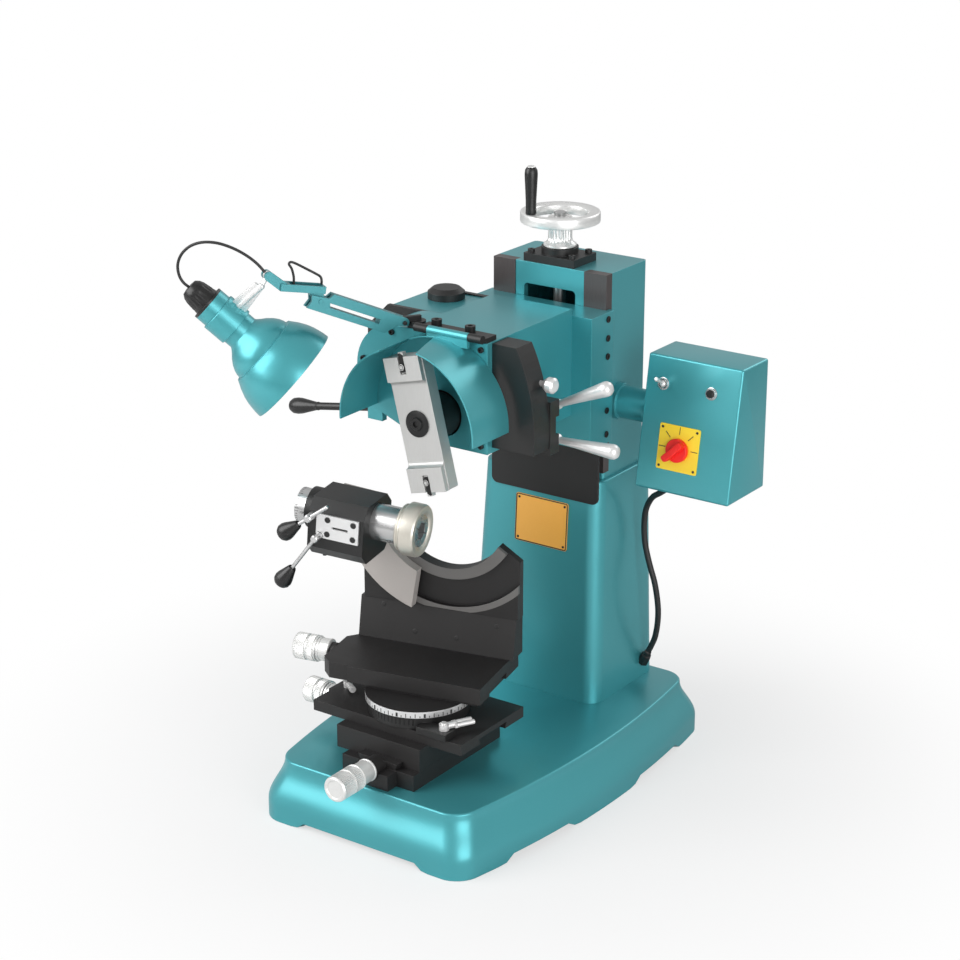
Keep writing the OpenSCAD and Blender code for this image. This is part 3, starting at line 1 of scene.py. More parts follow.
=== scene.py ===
"""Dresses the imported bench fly-cutting and sharpening machine for a studio picture.

Lengths in the classes are millimetres, and every mesh is written in metres in the row frame.
"""
import logging
import math
from dataclasses import dataclass, field
from enum import Enum

import bmesh
import bpy
import numpy as np
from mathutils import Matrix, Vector


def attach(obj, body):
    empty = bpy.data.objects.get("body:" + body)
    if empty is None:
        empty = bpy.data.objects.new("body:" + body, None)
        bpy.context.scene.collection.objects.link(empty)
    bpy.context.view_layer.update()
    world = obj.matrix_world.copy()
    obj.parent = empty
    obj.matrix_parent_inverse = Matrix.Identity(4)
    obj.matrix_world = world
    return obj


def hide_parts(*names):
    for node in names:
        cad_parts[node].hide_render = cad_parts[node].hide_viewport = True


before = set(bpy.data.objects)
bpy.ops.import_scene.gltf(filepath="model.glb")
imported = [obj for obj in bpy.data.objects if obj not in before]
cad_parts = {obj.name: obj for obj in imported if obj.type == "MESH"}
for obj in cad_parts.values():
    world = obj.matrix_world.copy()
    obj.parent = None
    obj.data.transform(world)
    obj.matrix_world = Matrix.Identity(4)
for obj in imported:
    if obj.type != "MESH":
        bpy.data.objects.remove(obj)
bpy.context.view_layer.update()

MM = 0.001
LOG = logging.getLogger("machine")
Array = np.ndarray


# ---------------------------------------------------------------- frames

def shift(x: float, y: float, z: float) -> Array:
    """4 by 4 matrix that moves by (x, y, z).

    Args:
        x: the move along X.
        y: the move along Y.
        z: the move along Z.

    Returns:
        The matrix with the move in its last column.
    """
    m = np.eye(4)
    m[:3, 3] = (x, y, z)
    return m


def turn(axis: str, degrees: float) -> Array:
    """4 by 4 matrix that turns about one axis by the right-hand rule.

    Args:
        axis: "x", "y" or "z".
        degrees: the angle.

    Returns:
        The matrix with cos on the diagonal and sin, -sin off it.
    """
    a, b = {"x": (1, 2), "y": (2, 0), "z": (0, 1)}[axis]
    c, s = math.cos(math.radians(degrees)), math.sin(math.radians(degrees))
    m = np.eye(4)
    m[a, a] = m[b, b] = c
    m[a, b], m[b, a] = -s, s
    return m


def placed(points: Array, matrix: Array) -> Array:
    """Points, a row each, carried by a 4 by 4 matrix."""
    return points @ matrix[:3, :3].T + matrix[:3, 3]


def arm_end(start: tuple[float, float], length: float, rise: float) -> tuple[float, float]:
    """The (reach, height) at an arm's far end: start + length * (cos rise, sin rise)."""
    return start[0] + length * math.cos(math.radians(rise)), start[1] + length * math.sin(math.radians(rise))


TABLE_TURN = 12.4
WORK_TILT = 4.1
TABLE = shift(0, -164, 0) @ turn("z", TABLE_TURN)
TILT_AXIS = TABLE @ shift(5, 0, 430)
WORK = TILT_AXIS @ turn("y", WORK_TILT)

ARM_DIRECTION = 237.8
LOWER_ARM, LOWER_RISE = 128.0, 19.8
UPPER_ARM, UPPER_RISE = 82.2, 30.6
SHOULDER = (20.6, 705.0)
ELBOW = arm_end(SHOULDER, LOWER_ARM, LOWER_RISE)
WRIST = arm_end(ELBOW, UPPER_ARM, UPPER_RISE)
ARMS = shift(-52, -91, 0) @ turn("z", ARM_DIRECTION)
# How far the wrist is outside the shade's axis and above its mouth, and how the shade hangs from it.
WRIST_OUT, WRIST_UP = 91.0, 118.0
SHADE_DIRECTION, SHADE_TILT, SHADE_ROLL = 212.0, 48.3, -11.1
LAMP = (ARMS @ shift(WRIST[0], 0, WRIST[1]) @ turn("z", -ARM_DIRECTION) @ turn("z", SHADE_DIRECTION)
        @ turn("y", SHADE_TILT) @ turn("z", SHADE_ROLL) @ shift(WRIST_OUT, 0, -WRIST_UP))

BOX_LEFT, BOX_FRONT, BOX_LOW = 165.5, 135.0, 440.0
BOX_HEIGHT, BOX_SLOPE = 192.0, 32.5
BOX_LEAN = math.degrees(math.atan2(BOX_SLOPE, BOX_HEIGHT))
BOX_FACE = shift(BOX_LEFT, BOX_FRONT, BOX_LOW) @ turn("x", -BOX_LEAN)
# Z of these two frames runs along the row's X and -Y.
ALONG_X = turn("y", 90)
ALONG_MINUS_Y = turn("x", 90)


# ---------------------------------------------------------------- surfaces

@dataclass
class Shell:
    """A surface in millimetres: its points and its faces."""

    points: Array
    faces: list[tuple[int, ...]]

    def at(self, matrix: Array) -> "Shell":
        """The same surface carried by a matrix."""
        return Shell(placed(self.points, matrix), self.faces)


def joined(shells: list[Shell]) -> Shell:
    """Several surfaces as one, each with its own points.

    Args:
        shells: the surfaces.

    Returns:
        Their points in a row, and their faces counted on from each surface's first point.
    """
    starts = np.cumsum([0] + [len(s.points) for s in shells])
    faces = [tuple(int(i + start) for i in face) for s, start in zip(shells, starts) for face in s.faces]
    return Shell(np.concatenate([s.points for s in shells]), faces)


def grid_shell(grid: Array, wrap_rows: bool = False, caps: bool = True) -> Shell:
    """Skin over a grid of points whose rows are closed loops.

    Args:
        grid: rows by columns by 3; each row is a closed loop.
        wrap_rows: whether the last row joins the first.
        caps: whether an open stack of rows is closed by a face at each end.

    Returns:
        Quads (i, j), (i, j+1), (i+1, j+1), (i+1, j), and the two end faces.
    """
    rows, columns = grid.shape[:2]
    i, j = np.meshgrid(np.arange(rows if wrap_rows else rows - 1), np.arange(columns), indexing="ij")
    i2, j2 = (i + 1) % rows, (j + 1) % columns
    quads = np.stack([i * columns + j, i * columns + j2, i2 * columns + j2, i2 * columns + j], -1)
    faces = [tuple(map(int, q)) for q in quads.reshape(-1, 4)]
    if caps and not wrap_rows:
        if np.ptp(grid[0], axis=0).max() > 1e-6:
            faces.append(tuple(range(columns - 1, -1, -1)))
        if np.ptp(grid[-1], axis=0).max() > 1e-6:
            faces.append(tuple(range((rows - 1) * columns, rows * columns)))
    return Shell(grid.reshape(-1, 3), faces)


def revolved(profile: list[tuple[float, float]], segments: int = 64, closed: bool = False,
             flutes: int = 0, depth: float = 0.0, fluted: tuple[tuple[float, float], ...] = ()) -> Shell:
    """A profile of (radius, height) turned about Z.

    Inside a fluted stretch of height the radius becomes r - depth * (1 - cos(flutes * angle)) / 2.

    Args:
        profile: the points from one end to the other, or round a ring.
        segments: steps round the axis.
        closed: whether the profile is a loop, as of a ring.
        flutes: grooves round a fluted stretch.
        depth: depth of a groove.
        fluted: stretches of height, as (low, high).

    Returns:
        The skin of radius(angle) * (cos, sin) at each height.
    """
    radius, height = np.array(profile, float).T
    angle = np.linspace(0, 2 * np.pi, segments, endpoint=False)
    ripple = depth * (1 - np.cos(flutes * angle)) / 2
    inside = np.zeros(len(height), bool)
    for low, high in fluted:
        inside |= (height >= low) & (height <= high)
    r = np.maximum(radius[:, None] - np.where(inside[:, None], ripple[None, :], 0), 0)
    grid = np.stack([r * np.cos(angle), r * np.sin(angle), np.broadcast_to(height[:, None], r.shape)], -1)
    return grid_shell(grid, wrap_rows=closed)


def smooth_route(points: Array, per_span: int = 6) -> Array:
    """Catmull-Rom curve through the points.

    Each span is (2 b + (c - a) t + (2 a - 5 b + 4 c - d) t^2 + (3 b - a - 3 c + d) t^3) / 2.

    Args:
        points: the points that the curve passes, a row each.
        per_span: steps in each span.

    Returns:
        The denser points, with the first and the last kept.
    """
    p = np.vstack([2 * points[0] - points[1], points, 2 * points[-1] - points[-2]])
    a, b, c, d = p[:-3, None], p[1:-2, None], p[2:-1, None], p[3:, None]
    t = (np.arange(per_span) / per_span)[None, :, None]
    curve = (2 * b + (c - a) * t + (2 * a - 5 * b + 4 * c - d) * t**2 + (3 * b - a - 3 * c + d) * t**3) / 2
    return np.vstack([curve.reshape(-1, 3), points[-1]])


def tube(route: Array, radius: float | Array, sides: int = 16) -> Shell:
    """Round tube along a route: each ring is radius * (cos * side + sin * up) round its point.

    Args:
        route: the points of its middle, a row each.
        radius: one radius, or one for each point.
        sides: steps round a ring.

    Returns:
        The tube with flat ends.
    """
    tangent = np.gradient(route, axis=0)
    tangent /= np.linalg.norm(tangent, axis=1)[:, None]
    spread = route.max(0) - route.min(0)
    reference = np.eye(3)[int(np.argmin(spread))] + np.array([0.013, 0.021, 0.017])
    side = np.cross(tangent, reference)
    side /= np.linalg.norm(side, axis=1)[:, None]
    up = np.cross(tangent, side)
    angle = np.linspace(0, 2 * np.pi, sides, endpoint=False)[None, :, None]
    r = np.broadcast_to(np.asarray(radius, float), (len(route),))[:, None, None]
    return grid_shell(route[:, None] + r * (np.cos(angle) * side[:, None] + np.sin(angle) * up[:, None]))


def rounded_outline(corners: list[tuple[float, float]], radius: float, steps: int = 6) -> Array:
    """Convex outline with an arc at each corner.

    An arc's centre is on the corner's bisector, radius / sin(half the corner's angle) from the corner.

    Args:
        corners: the polygon's corners, anticlockwise.
        radius: radius of the arcs.
        steps: points in an arc.

    Returns:
        The closed outline, a row for each point.
    """
    p = np.array(corners, float)
    before, after = np.roll(p, 1, 0) - p, np.roll(p, -1, 0) - p
    before /= np.linalg.norm(before, axis=1)[:, None]
    after /= np.linalg.norm(after, axis=1)[:, None]
    half = np.arccos(np.clip((before * after).sum(1), -1, 1)) / 2
    middle = before + after
    middle /= np.linalg.norm(middle, axis=1)[:, None]
    centre = p + middle * (radius / np.sin(half))[:, None]
    sweep = np.pi - 2 * half
    start = np.arctan2(-middle[:, 1], -middle[:, 0]) - sweep / 2
    angle = start[:, None] + sweep[:, None] * np.linspace(0, 1, steps)[None]
    return (centre[:, None] + radius * np.stack([np.cos(angle), np.sin(angle)], -1)).reshape(-1, 2)


def rectangle(left: float, right: float, low: float, high: float, radius: float, steps: int = 6) -> Array:
    """Round-cornered rectangle: the outline of its four corners, from the lower left one."""
    return rounded_outline([(left, low), (right, low), (right, high), (left, high)], radius, steps)


def inset(outline: Array, distance: float) -> Array:
    """Outline moved inwards: each point goes along the bisector of its two edges' normals.

    Args:
        outline: a closed outline, anticlockwise.
        distance: how far each edge moves.

    Returns:
        point + distance * (sum of the normals) / (1 + their dot product).
    """
    edge = np.roll(outline, -1, 0) - outline
    normal = np.stack([-edge[:, 1], edge[:, 0]], -1)
    normal /= np.maximum(np.linalg.norm(normal, axis=1), 1e-9)[:, None]
    last = np.roll(normal, 1, 0)
    return outline + distance * (normal + last) / (1 + (normal * last).sum(1))[:, None]


def raised(outline: Array, z: float | Array) -> Array:
    """The outline's points at height z, or each at its own: (x, y, z)."""
    return np.column_stack([outline, np.broadcast_to(z, len(outline))])


def slab(outline: Array, low: float, high: float, edge: float = 0.0, steps: int = 4) -> Shell:
    """A flat outline raised from low to high, its edges rounded with quarter circles.

    Args:
        outline: the closed outline.
        low: height of the under side.
        high: height of the upper side.
        edge: radius of the quarter circles.
        steps: rings in a quarter circle.

    Returns:
        The outline inset by edge * (1 - sin t) at low + edge * (1 - cos t), and the same from the top.
    """
    a = np.linspace(0, np.pi / 2, steps)
    rings = [(edge * (1 - math.sin(t)), low + edge * (1 - math.cos(t))) for t in a]
    rings += [(edge * (1 - math.cos(t)), high - edge * (1 - math.sin(t))) for t in a]
    return grid_shell(np.array([raised(inset(outline, d), z) for d, z in rings]))


def pin(radius: float, low: float, high: float, segments: int) -> Shell:
    """A plain round pin about Z: the profile (0, low), (radius, low), (radius, high), (0, high)."""
    return revolved([(0, low), (radius, low), (radius, high), (0, high)], segments)


def screw_head(radius: float, low: float, high: float, edge: tuple[float, float],
               key: float = 0.0, floor: float = 0.0, segments: int = 24) -> Shell:
    """A round screw head about Z with a chamfer and, where key isn't 0, a blind socket.

    Args:
        radius: the head's radius.
        low: height of its under side.
        high: height of its top.
        edge: how far the chamfer goes inwards and downwards.
        key: the socket's radius.
        floor: height of the socket's floor.
        segments: steps round the axis.

    Returns:
        The closed head.
    """
    profile = [(0, low), (radius, low), (radius, high - edge[1]), (radius - edge[0], high)]
    profile += [(key, high), (key, floor), (0, floor)] if key else [(0, high)]
    return revolved(profile, segments)


# ---------------------------------------------------------------- finishes

Value = float | tuple[float, ...] | Array | bpy.types.NodeSocket


class Graph:
    """The shader nodes of a material or a world."""

    def __init__(self, owner: bpy.types.Material | bpy.types.World) -> None:
        """Turns the owner's nodes on."""
        owner.use_nodes = True
        self.nodes, self.links = owner.node_tree.nodes, owner.node_tree.links

    def feed(self, node: bpy.types.Node, values: dict[str | int, Value]) -> bpy.types.Node:
        """Sets inputs of a node.

        Args:
            node: the node.
            values: what each named or numbered input gets, a value or another node's socket.

        Returns:
            The node.
        """
        for key, value in values.items():
            if isinstance(value, bpy.types.NodeSocket):
                self.links.new(value, node.inputs[key])
            else:
                node.inputs[key].default_value = value
        return node

    def add(self, kind: str, values: dict[str | int, Value] | None = None,
            **settings: str | int) -> bpy.types.Node:
        """Adds a node.

        Args:
            kind: its type, without the leading word.
            values: what its inputs get.
            **settings: its own settings, which come before the inputs.

        Returns:
            The node.
        """
        node = self.nodes.new("ShaderNode" + kind)
        for name, setting in settings.items():
            setattr(node, name, setting)
        return self.feed(node, values or {})

    def math(self, operation: str, *values: Value) -> bpy.types.NodeSocket:
        """What a Math node makes of the values."""
        return self.add("Math", dict(enumerate(values)), operation=operation).outputs[0]

    def between(self, low: float, high: float, share: Value) -> bpy.types.NodeSocket:
        """low + (high - low) * share."""
        return self.add("MapRange", {"Value": share, "To Min": low, "To Max": high}).outputs["Result"]

    def blend(self, first: Value, second: Value, share: Value) -> bpy.types.NodeSocket:
        """The colour first + (second - first) * share."""
        return self.add("Mix", {"A": first, "B": second, "Factor": share}, data_type="RGBA").outputs["Result"]

    def noise(self, where: bpy.types.NodeSocket, scale: float, detail: float) -> bpy.types.NodeSocket:
        """Noise of that scale at the coordinates."""
        values = {"Vector": where, "Scale": scale, "Detail": detail}
        return self.add("TexNoise", values).outputs["Fac"]


class Look(Enum):
    """The ways in which a finish's surface is broken up."""

    ENAMEL = "enamel"
    CAST = "cast"
    TURNED = "turned"
    MOULDED = "moulded"


ENAMEL, CAST, TURNED, MOULDED = Look
# Scale of each look's broad noise, and the share that either noise has in the colour.
BROAD = {ENAMEL: 7.0, CAST: 24.0, TURNED: 24.0, MOULDED: 24.0}
NOISE_SHARE = 0.45
# The roughness swings this far below and above its middle.
SMOOTHER, ROUGHER, LEAST_ROUGH = 0.07, 0.10, 0.02
RELIEF_DEPTH = 0.0004


@dataclass(frozen=True)
class Finish:
    """A procedural finish: two close colours mixed by noise, with a roughness and a bump of their own."""

    colour: tuple[float, float, float]
    tint: tuple[float, float, float]
    roughness: float
    look: Look
    metallic: float = 0.0
    coat: float = 0.0
    grain: float = 60.0
    bump: float = 0.05
    rounding: float = 0.5
    stretch: tuple[float, float, float] = (1.0, 1.0, 1.0)

    def build(self, name: str) -> bpy.types.Material:
        """Makes the material.

        Args:
            name: the material's name.

        Returns:
            The material, with its noise on Object coordinates.
        """
        material = bpy.data.materials.new(name)
        graph = Graph(material)
        own = graph.add("TexCoord").outputs["Object"]
        where = graph.add("Mapping", {"Vector": own, "Scale": self.stretch}).outputs["Vector"]
        broad = graph.noise(where, BROAD[self.look], 3)
        fine = graph.noise(where, self.grain * 10, 6)
        share = graph.math("MULTIPLY_ADD", broad, NOISE_SHARE, graph.math("MULTIPLY", fine, NOISE_SHARE))
        least = max(self.roughness - SMOOTHER, LEAST_ROUGH)
        bevel = graph.add("Bevel", {"Radius": self.rounding * MM}, samples=6)
        relief = graph.add("Bump", {"Strength": self.bump, "Distance": RELIEF_DEPTH, "Height": fine,
                                    "Normal": bevel.outputs["Normal"]})
        graph.feed(graph.nodes["Principled BSDF"], {
            "Base Color": graph.blend((*self.colour, 1), (*self.tint, 1), share),
            "Metallic": self.metallic,
            "Roughness": graph.between(least, self.roughness + ROUGHER, broad),
            "Coat Weight": self.coat,
            "Coat Roughness": 0.12,
            "Normal": relief.outputs["Normal"]})
        return material


FINISHES: dict[str, Finish] = {
    "teal_enamel": Finish((0.058, 0.325, 0.365), (0.074, 0.380, 0.418), 0.34, ENAMEL,
                          metallic=0.50, coat=0.12, rounding=1.2),
    "teal_sheet": Finish((0.062, 0.345, 0.385), (0.078, 0.400, 0.438), 0.31, ENAMEL,
                         metallic=0.50, coat=0.15, bump=0.04, rounding=0.6),
    "arm_enamel": Finish((0.046, 0.240, 0.268), (0.062, 0.285, 0.312), 0.36, ENAMEL,
                         metallic=0.50, coat=0.1),
    "black_enamel": Finish((0.006, 0.006, 0.006), (0.011, 0.011, 0.011), 0.44, ENAMEL,
                           grain=70, bump=0.08, rounding=0.8),
    "dark_cast": Finish((0.010, 0.009, 0.009), (0.020, 0.019, 0.019), 0.52, CAST,
                        metallic=0.15, grain=80, bump=0.16, rounding=0.7),
    "ground_way": Finish((0.065, 0.055, 0.055), (0.11, 0.095, 0.095), 0.40, TURNED,
                         metallic=0.5, bump=0.12, stretch=(1, 1, 0.1)),
    "steel_screw": Finish((0.42, 0.42, 0.42), (0.55, 0.55, 0.55), 0.32, TURNED,
                          metallic=1.0, bump=0.1, rounding=0.3),
    "steel_spindle": Finish((0.52, 0.52, 0.52), (0.66, 0.66, 0.66), 0.26, TURNED,
                            metallic=0.9, grain=50, bump=0.1, stretch=(0.15, 1, 1)),
    "ground_bar": Finish((0.48, 0.48, 0.47), (0.61, 0.61, 0.60), 0.38, TURNED,
                         metallic=0.70, bump=0.10, rounding=0.6, stretch=(1, 1, 0.12)),
    "graduated_steel": Finish((0.70, 0.70, 0.70), (0.82, 0.82, 0.82), 0.30, TURNED,
                              metallic=0.7, bump=0.08, rounding=0.3),
    "knurled_steel": Finish((0.72, 0.72, 0.71), (0.86, 0.86, 0.84), 0.36, TURNED,
                            metallic=0.50, grain=40, bump=0.10, rounding=0.4),
    "bright_wheel": Finish((0.80, 0.80, 0.79), (0.90, 0.90, 0.89), 0.28, TURNED,
                           metallic=0.55, grain=30, bump=0.06),
    "chrome": Finish((0.72, 0.715, 0.71), (0.82, 0.815, 0.81), 0.34, TURNED,
                     metallic=0.55, grain=30, rounding=0.4),
    "nickel_nut": Finish((0.60, 0.57, 0.50), (0.72, 0.69, 0.62), 0.38, TURNED,
                         metallic=0.7, grain=50, bump=0.10),
    "ground_cradle": Finish((0.012, 0.011, 0.011), (0.024, 0.023, 0.023), 0.48, CAST,
                            metallic=0.2, grain=80, bump=0.12, rounding=0.6),
    "ground_sector": Finish((0.36, 0.335, 0.315), (0.45, 0.42, 0.40), 0.48, CAST,
                            metallic=0.1, grain=80, bump=0.10, rounding=0.6),
    "gold_plate": Finish((0.84, 0.40, 0.065), (0.93, 0.48, 0.095), 0.44, TURNED,
                         metallic=0.2, bump=0.06, rounding=0.2),
    "switch_yellow": Finish((0.98, 0.66, 0.03), (1.0, 0.74, 0.04), 0.46, MOULDED,
                            bump=0.04, rounding=0.3),
    "red_plastic": Finish((0.86, 0.010, 0.008), (0.94, 0.016, 0.012), 0.42, MOULDED, bump=0.04),
    "black_plastic": Finish((0.005, 0.005, 0.005), (0.010, 0.010, 0.010), 0.34, MOULDED),
    "black_screws": Finish((0.010, 0.010, 0.010), (0.028, 0.028, 0.028), 0.40, TURNED,
                           metallic=0.5, bump=0.1, rounding=0.3),
    "cable_rubber": Finish((0.010, 0.010, 0.010), (0.018, 0.018, 0.018), 0.48, MOULDED,
                           bump=0.06, rounding=0.2),
    "belt_rubber": Finish((0.015, 0.015, 0.015), (0.03, 0.03, 0.03), 0.60, MOULDED,
                          bump=0.1, rounding=0.2),
    "lamp_glass": Finish((0.82, 0.82, 0.78), (0.90, 0.90, 0.86), 0.20, MOULDED,
                         coat=0.4, grain=40, bump=0.02, rounding=0.2),
    "lamp_lining": Finish((0.70, 0.72, 0.72), (0.80, 0.82, 0.82), 0.40, ENAMEL,
                          metallic=0.2, grain=40, bump=0.03, rounding=0.2),
    "mark_ink": Finish((0.010, 0.010, 0.010), (0.018, 0.018, 0.018), 0.50, MOULDED,
                       bump=0.02, rounding=0.1),
}
MATERIALS: dict[str, bpy.types.Material] = {}


def finish(name: str) -> bpy.types.Material:
    """The material of that name, made when it is first asked for.

    Args:
        name: a name in FINISHES.

    Returns:
        The material.
    """
    if name not in MATERIALS:
        MATERIALS[name] = FINISHES[name].build(name)
    return MATERIALS[name]


def piece(name: str, shell: Shell, body: str, slot: str, look: str = "", stands_for: tuple[str, ...] = (),
          sharp: float = 32.0) -> bpy.types.Object:
    """Makes one finished piece of the machine.

    Args:
        name: the piece's name.
        shell: its surface in millimetres, in the row frame.
        body: the body that it rides on.
        slot: the record's material slot.
        look: the finish, where it isn't the slot's own.
        stands_for: the solids that it replaces.
        sharp: the angle in degrees above which an edge stays sharp.

    Returns:
        The object, at the origin, with its place in its mesh.
    """
    mesh = bpy.data.meshes.new(name)
    mesh.from_pydata((shell.points * MM).tolist(), [], shell.faces)
    bm = bmesh.new()
    bm.from_mesh(mesh)
    bmesh.ops.remove_doubles(bm, verts=bm.verts, dist=1e-6)
    bmesh.ops.dissolve_degenerate(bm, edges=bm.edges, dist=1e-7)
    bmesh.ops.recalc_face_normals(bm, faces=bm.faces)
    bm.to_mesh(mesh)
    bm.free()
    mesh.shade_smooth()
    mesh.set_sharp_from_angle(angle=math.radians(sharp))
    obj = bpy.data.objects.new(name, mesh)
    bpy.context.scene.collection.objects.link(obj)
    mesh.materials.append(finish(look or slot))
    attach(obj, body)
    if stands_for:
        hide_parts(*stands_for)
    LOG.info("%s: %d faces on %s", name, len(mesh.polygons), body)
    return obj


# ---------------------------------------------------------------- leads

@dataclass
class Lead:
    """A short electric lead whose two ends go into the machine."""

    name: str
    node: str
    body: str
    route: list[tuple[float, float, float]]
    radius: float
    place: Array = field(default_factory=lambda: np.eye(4))
    lay: str = "loose"
    stiffness: str = "medium"

    def build(self) -> None:
        path = placed(smooth_route(np.array(self.route, float)), self.place)
        obj = piece(self.name, tube(path, self.radius, 14), self.body, "cable_rubber",
                    stands_for=(self.node,) if self.node else ())


LEADS = [
    Lead("switch_lead", "control_cable", "frame",
         [(182, 205, 434.5), (181, 205, 427), (176, 208, 416), (164, 212, 406), (148, 217, 394),
          (136, 221, 374), (131, 224, 350), (131, 226, 322), (135, 227, 300), (141, 228, 278),
          (148, 229, 256), (152, 231, 232), (153, 234, 208), (150, 238, 184), (144, 242, 160),
          (137, 244, 144), (132, 245, 134)], 4.5, lay="hanging"),
    Lead("lamp_lead", "lamp_cable", "lamp_head",
         [(0, 0, 184), (0, 0, 195), (-5, 0, 206), (-16, 0, 216), (-32, 0, 221), (-50, 0, 219),
          (-66, 0, 210), (-79, 0, 195), (-88, 0, 176), (-93, 0, 156), (-94, 0, 138), (-91.5, 0, 121)],
         2.0, LAMP, stiffness="stiff"),
]


# ---------------------------------------------------------------- castings

@dataclass
class BaseCasting:
    """The hollow base: a bowed outline that flares down to a skirt with short feet."""

    length: float = 620.0
    front: float = 346.0
    middle: float = 428.0
    rear: float = 378.0
    height: float = 87.5
    flare: float = 20.6
    skirt: float = 24.0
    corner: float = 30.0
    edge: float = 3.0
    wall: float = 9.0
    # the arches between the feet: their height, the run up to it, where a side's middle is, and half lengths
    arch: float = 10.0
    run_up: float = 14.0
    side_middle: float = 150.0
    side_half: float = 75.0
    end_half: float = 112.0
    end_depth: float = 12.0
    # the bolt holes' places, and their bosses
    bolts: tuple[float, float] = (140.0, 270.0)
    hole: float = 5.5
    boss: float = 15.0

    def outline(self, inward: float) -> Array:
        """Closed outline: the half width is a parabola of y, less a quarter circle at each end.

        Args:
            inward: how far it is inside the skirt.

        Returns:
            The points up the right side, along the rear, down the left side and along the front.
        """
        half = self.length / 2 - inward
        bend = np.sin(np.linspace(0, np.pi / 2, 12)) ** 2
        straight = np.linspace(-half + self.corner, half - self.corner, 40)[1:-1]
        y = np.concatenate([-half + self.corner * bend, straight, half - self.corner * bend[::-1]])
        t = y / (self.length / 2)
        f, b, m = self.front / 2, self.rear / 2, self.middle / 2
        x = m + (b - f) / 2 * t + ((b + f) / 2 - m) * t**2 - inward
        d = np.minimum(half - np.abs(y), self.corner)
        x = x - (self.corner - np.sqrt(np.maximum(self.corner**2 - (self.corner - d) ** 2, 0)))
        right = np.column_stack([x, y])
        across = np.linspace(x[-1], -x[-1], 26)[1:-1]
        back = np.column_stack([across, np.full(len(across), y[-1])])
        front = np.column_stack([-across * x[0] / x[-1], np.full(len(across), y[0])])
        return np.vstack([right, back, right[::-1] * (-1, 1), front])

    def foot_line(self, outline: Array) -> Array:
        """Height of the lower edge: 0 on the feet, and an arch of smooth ends between them.

        Args:
            outline: the skirt's outline.

        Returns:
            arch * s * s * (3 - 2 s) at each point, with s the share of the run from the nearest foot.
        """
        x, y = outline.T
        at_end = np.abs(y) > self.length / 2 - self.end_depth
        side_gap = self.side_half - np.abs(np.abs(y) - self.side_middle)
        rise = np.clip(np.where(at_end, self.end_half - np.abs(x), side_gap) / self.run_up, 0, 1)
        return self.arch * rise * rise * (3 - 2 * rise)

    def build(self) -> None:
        """Stacks the outlines: outside from the feet up the flare, inside up the wall; then the bosses."""
        outer = self.outline(0)
        feet = self.foot_line(outer)
        shoulder, ceiling = self.height - self.edge, self.height - self.wall
        rings = [raised(outer, feet)]
        rings += [raised(outer, z) for z in np.linspace(self.skirt * 0.6, self.skirt, 3)]
        rings += [raised(self.outline(self.flare * (1 - math.cos(math.pi * s)) / 2),
                         self.skirt + (shoulder - self.skirt) * s) for s in np.linspace(0, 1, 15)[1:]]
        rings += [raised(self.outline(self.flare + self.edge * (1 - math.cos(a))),
                         shoulder + self.edge * math.sin(a)) for a in np.linspace(0, np.pi / 2, 5)[1:]]
        lining = [raised(self.outline(self.wall), feet), raised(self.outline(self.wall), self.skirt),
                  raised(self.outline(self.wall + self.flare), ceiling)]
        skins = [grid_shell(np.array(stack), caps=False) for stack in (rings, lining)]
        count = len(outer)
        for skin in skins:
            skin.faces.append(tuple(range(len(skin.points) - count, len(skin.points))))
        both = joined(skins)
        start = len(skins[0].points)
        rim = [(k, (k + 1) % count, start + (k + 1) % count, start + k) for k in range(count)]
        piece("base_shell", Shell(both.points, both.faces + rim), "frame", "teal_enamel",
              stands_for=("base_casting",), sharp=40)
        boss = [(self.hole, 0.5), (self.boss - 1, 0.5), (self.boss, 1.5), (self.boss, ceiling),
                (self.hole, ceiling)]
        x, y = self.bolts
        bosses = [revolved(boss, 32, closed=True).at(shift(a, b, 0)) for a in (-x, x) for b in (-y, y)]
        piece("base_bosses", joined(bosses), "frame", "teal_enamel")


@dataclass
class Pedestal:
    """The tapered pedestal, with round corners and a soft top edge, and the lead's gland."""

    centre: float = 4.0
    bottom: tuple[float, float, float] = (115.0, 112.5, 288.0)
    top: tuple[float, float, float] = (103.0, 132.5, 288.0)
    low: float = 87.5
    high: float = 430.0
    corner: float = 24.0
    edge: float = 2.0
    gland: Array = field(default_factory=lambda: shift(126, 246, 122) @ turn("z", -6) @ turn("y", 27))

    def ring(self, z: float, inward: float = 0.0) -> Array:
        """Round-cornered rectangle between the bottom's half width, front and rear and the top's.

        Args:
            z: its height.
            inward: how far it is inside the wall.

        Returns:
            Its points; each side is bottom + (top - bottom) * (z - low) / (high - low).
        """
        t = (z - self.low) / (self.high - self.low)
        half, front, rear = (a + (b - a) * t for a, b in zip(self.bottom, self.top))
        return raised(rectangle(self.centre - half + inward, self.centre + half - inward,
                                front + inward, rear - inward, self.corner - inward, 12), z)

    def build(self) -> None:
        """Makes the pedestal's skin and the hexagonal gland."""
        shoulder = self.high - self.edge
        rings = [self.ring(self.low)] + [self.ring(z) for z in np.linspace(self.low + 1, shoulder, 10)]
        rings += [self.ring(shoulder + self.edge * math.sin(a), self.edge * (1 - math.cos(a)))
                  for a in np.linspace(0, np.pi / 2, 5)[1:]]
        piece("pedestal_shell", grid_shell(np.array(rings)), "frame", "teal_enamel",
              stands_for=("pedestal",))
        nut = revolved([(0, -13), (8.4, -13), (8.4, 3), (7.2, 4.5), (6.4, 4.5), (6.0, 10), (4.7, 10),
                        (4.7, 8), (0, 8)], 6)
        piece("pedestal_gland", nut.at(self.gland), "frame", "teal_enamel", "black_enamel", sharp=25)


# ---------------------------------------------------------------- wheels and knobs

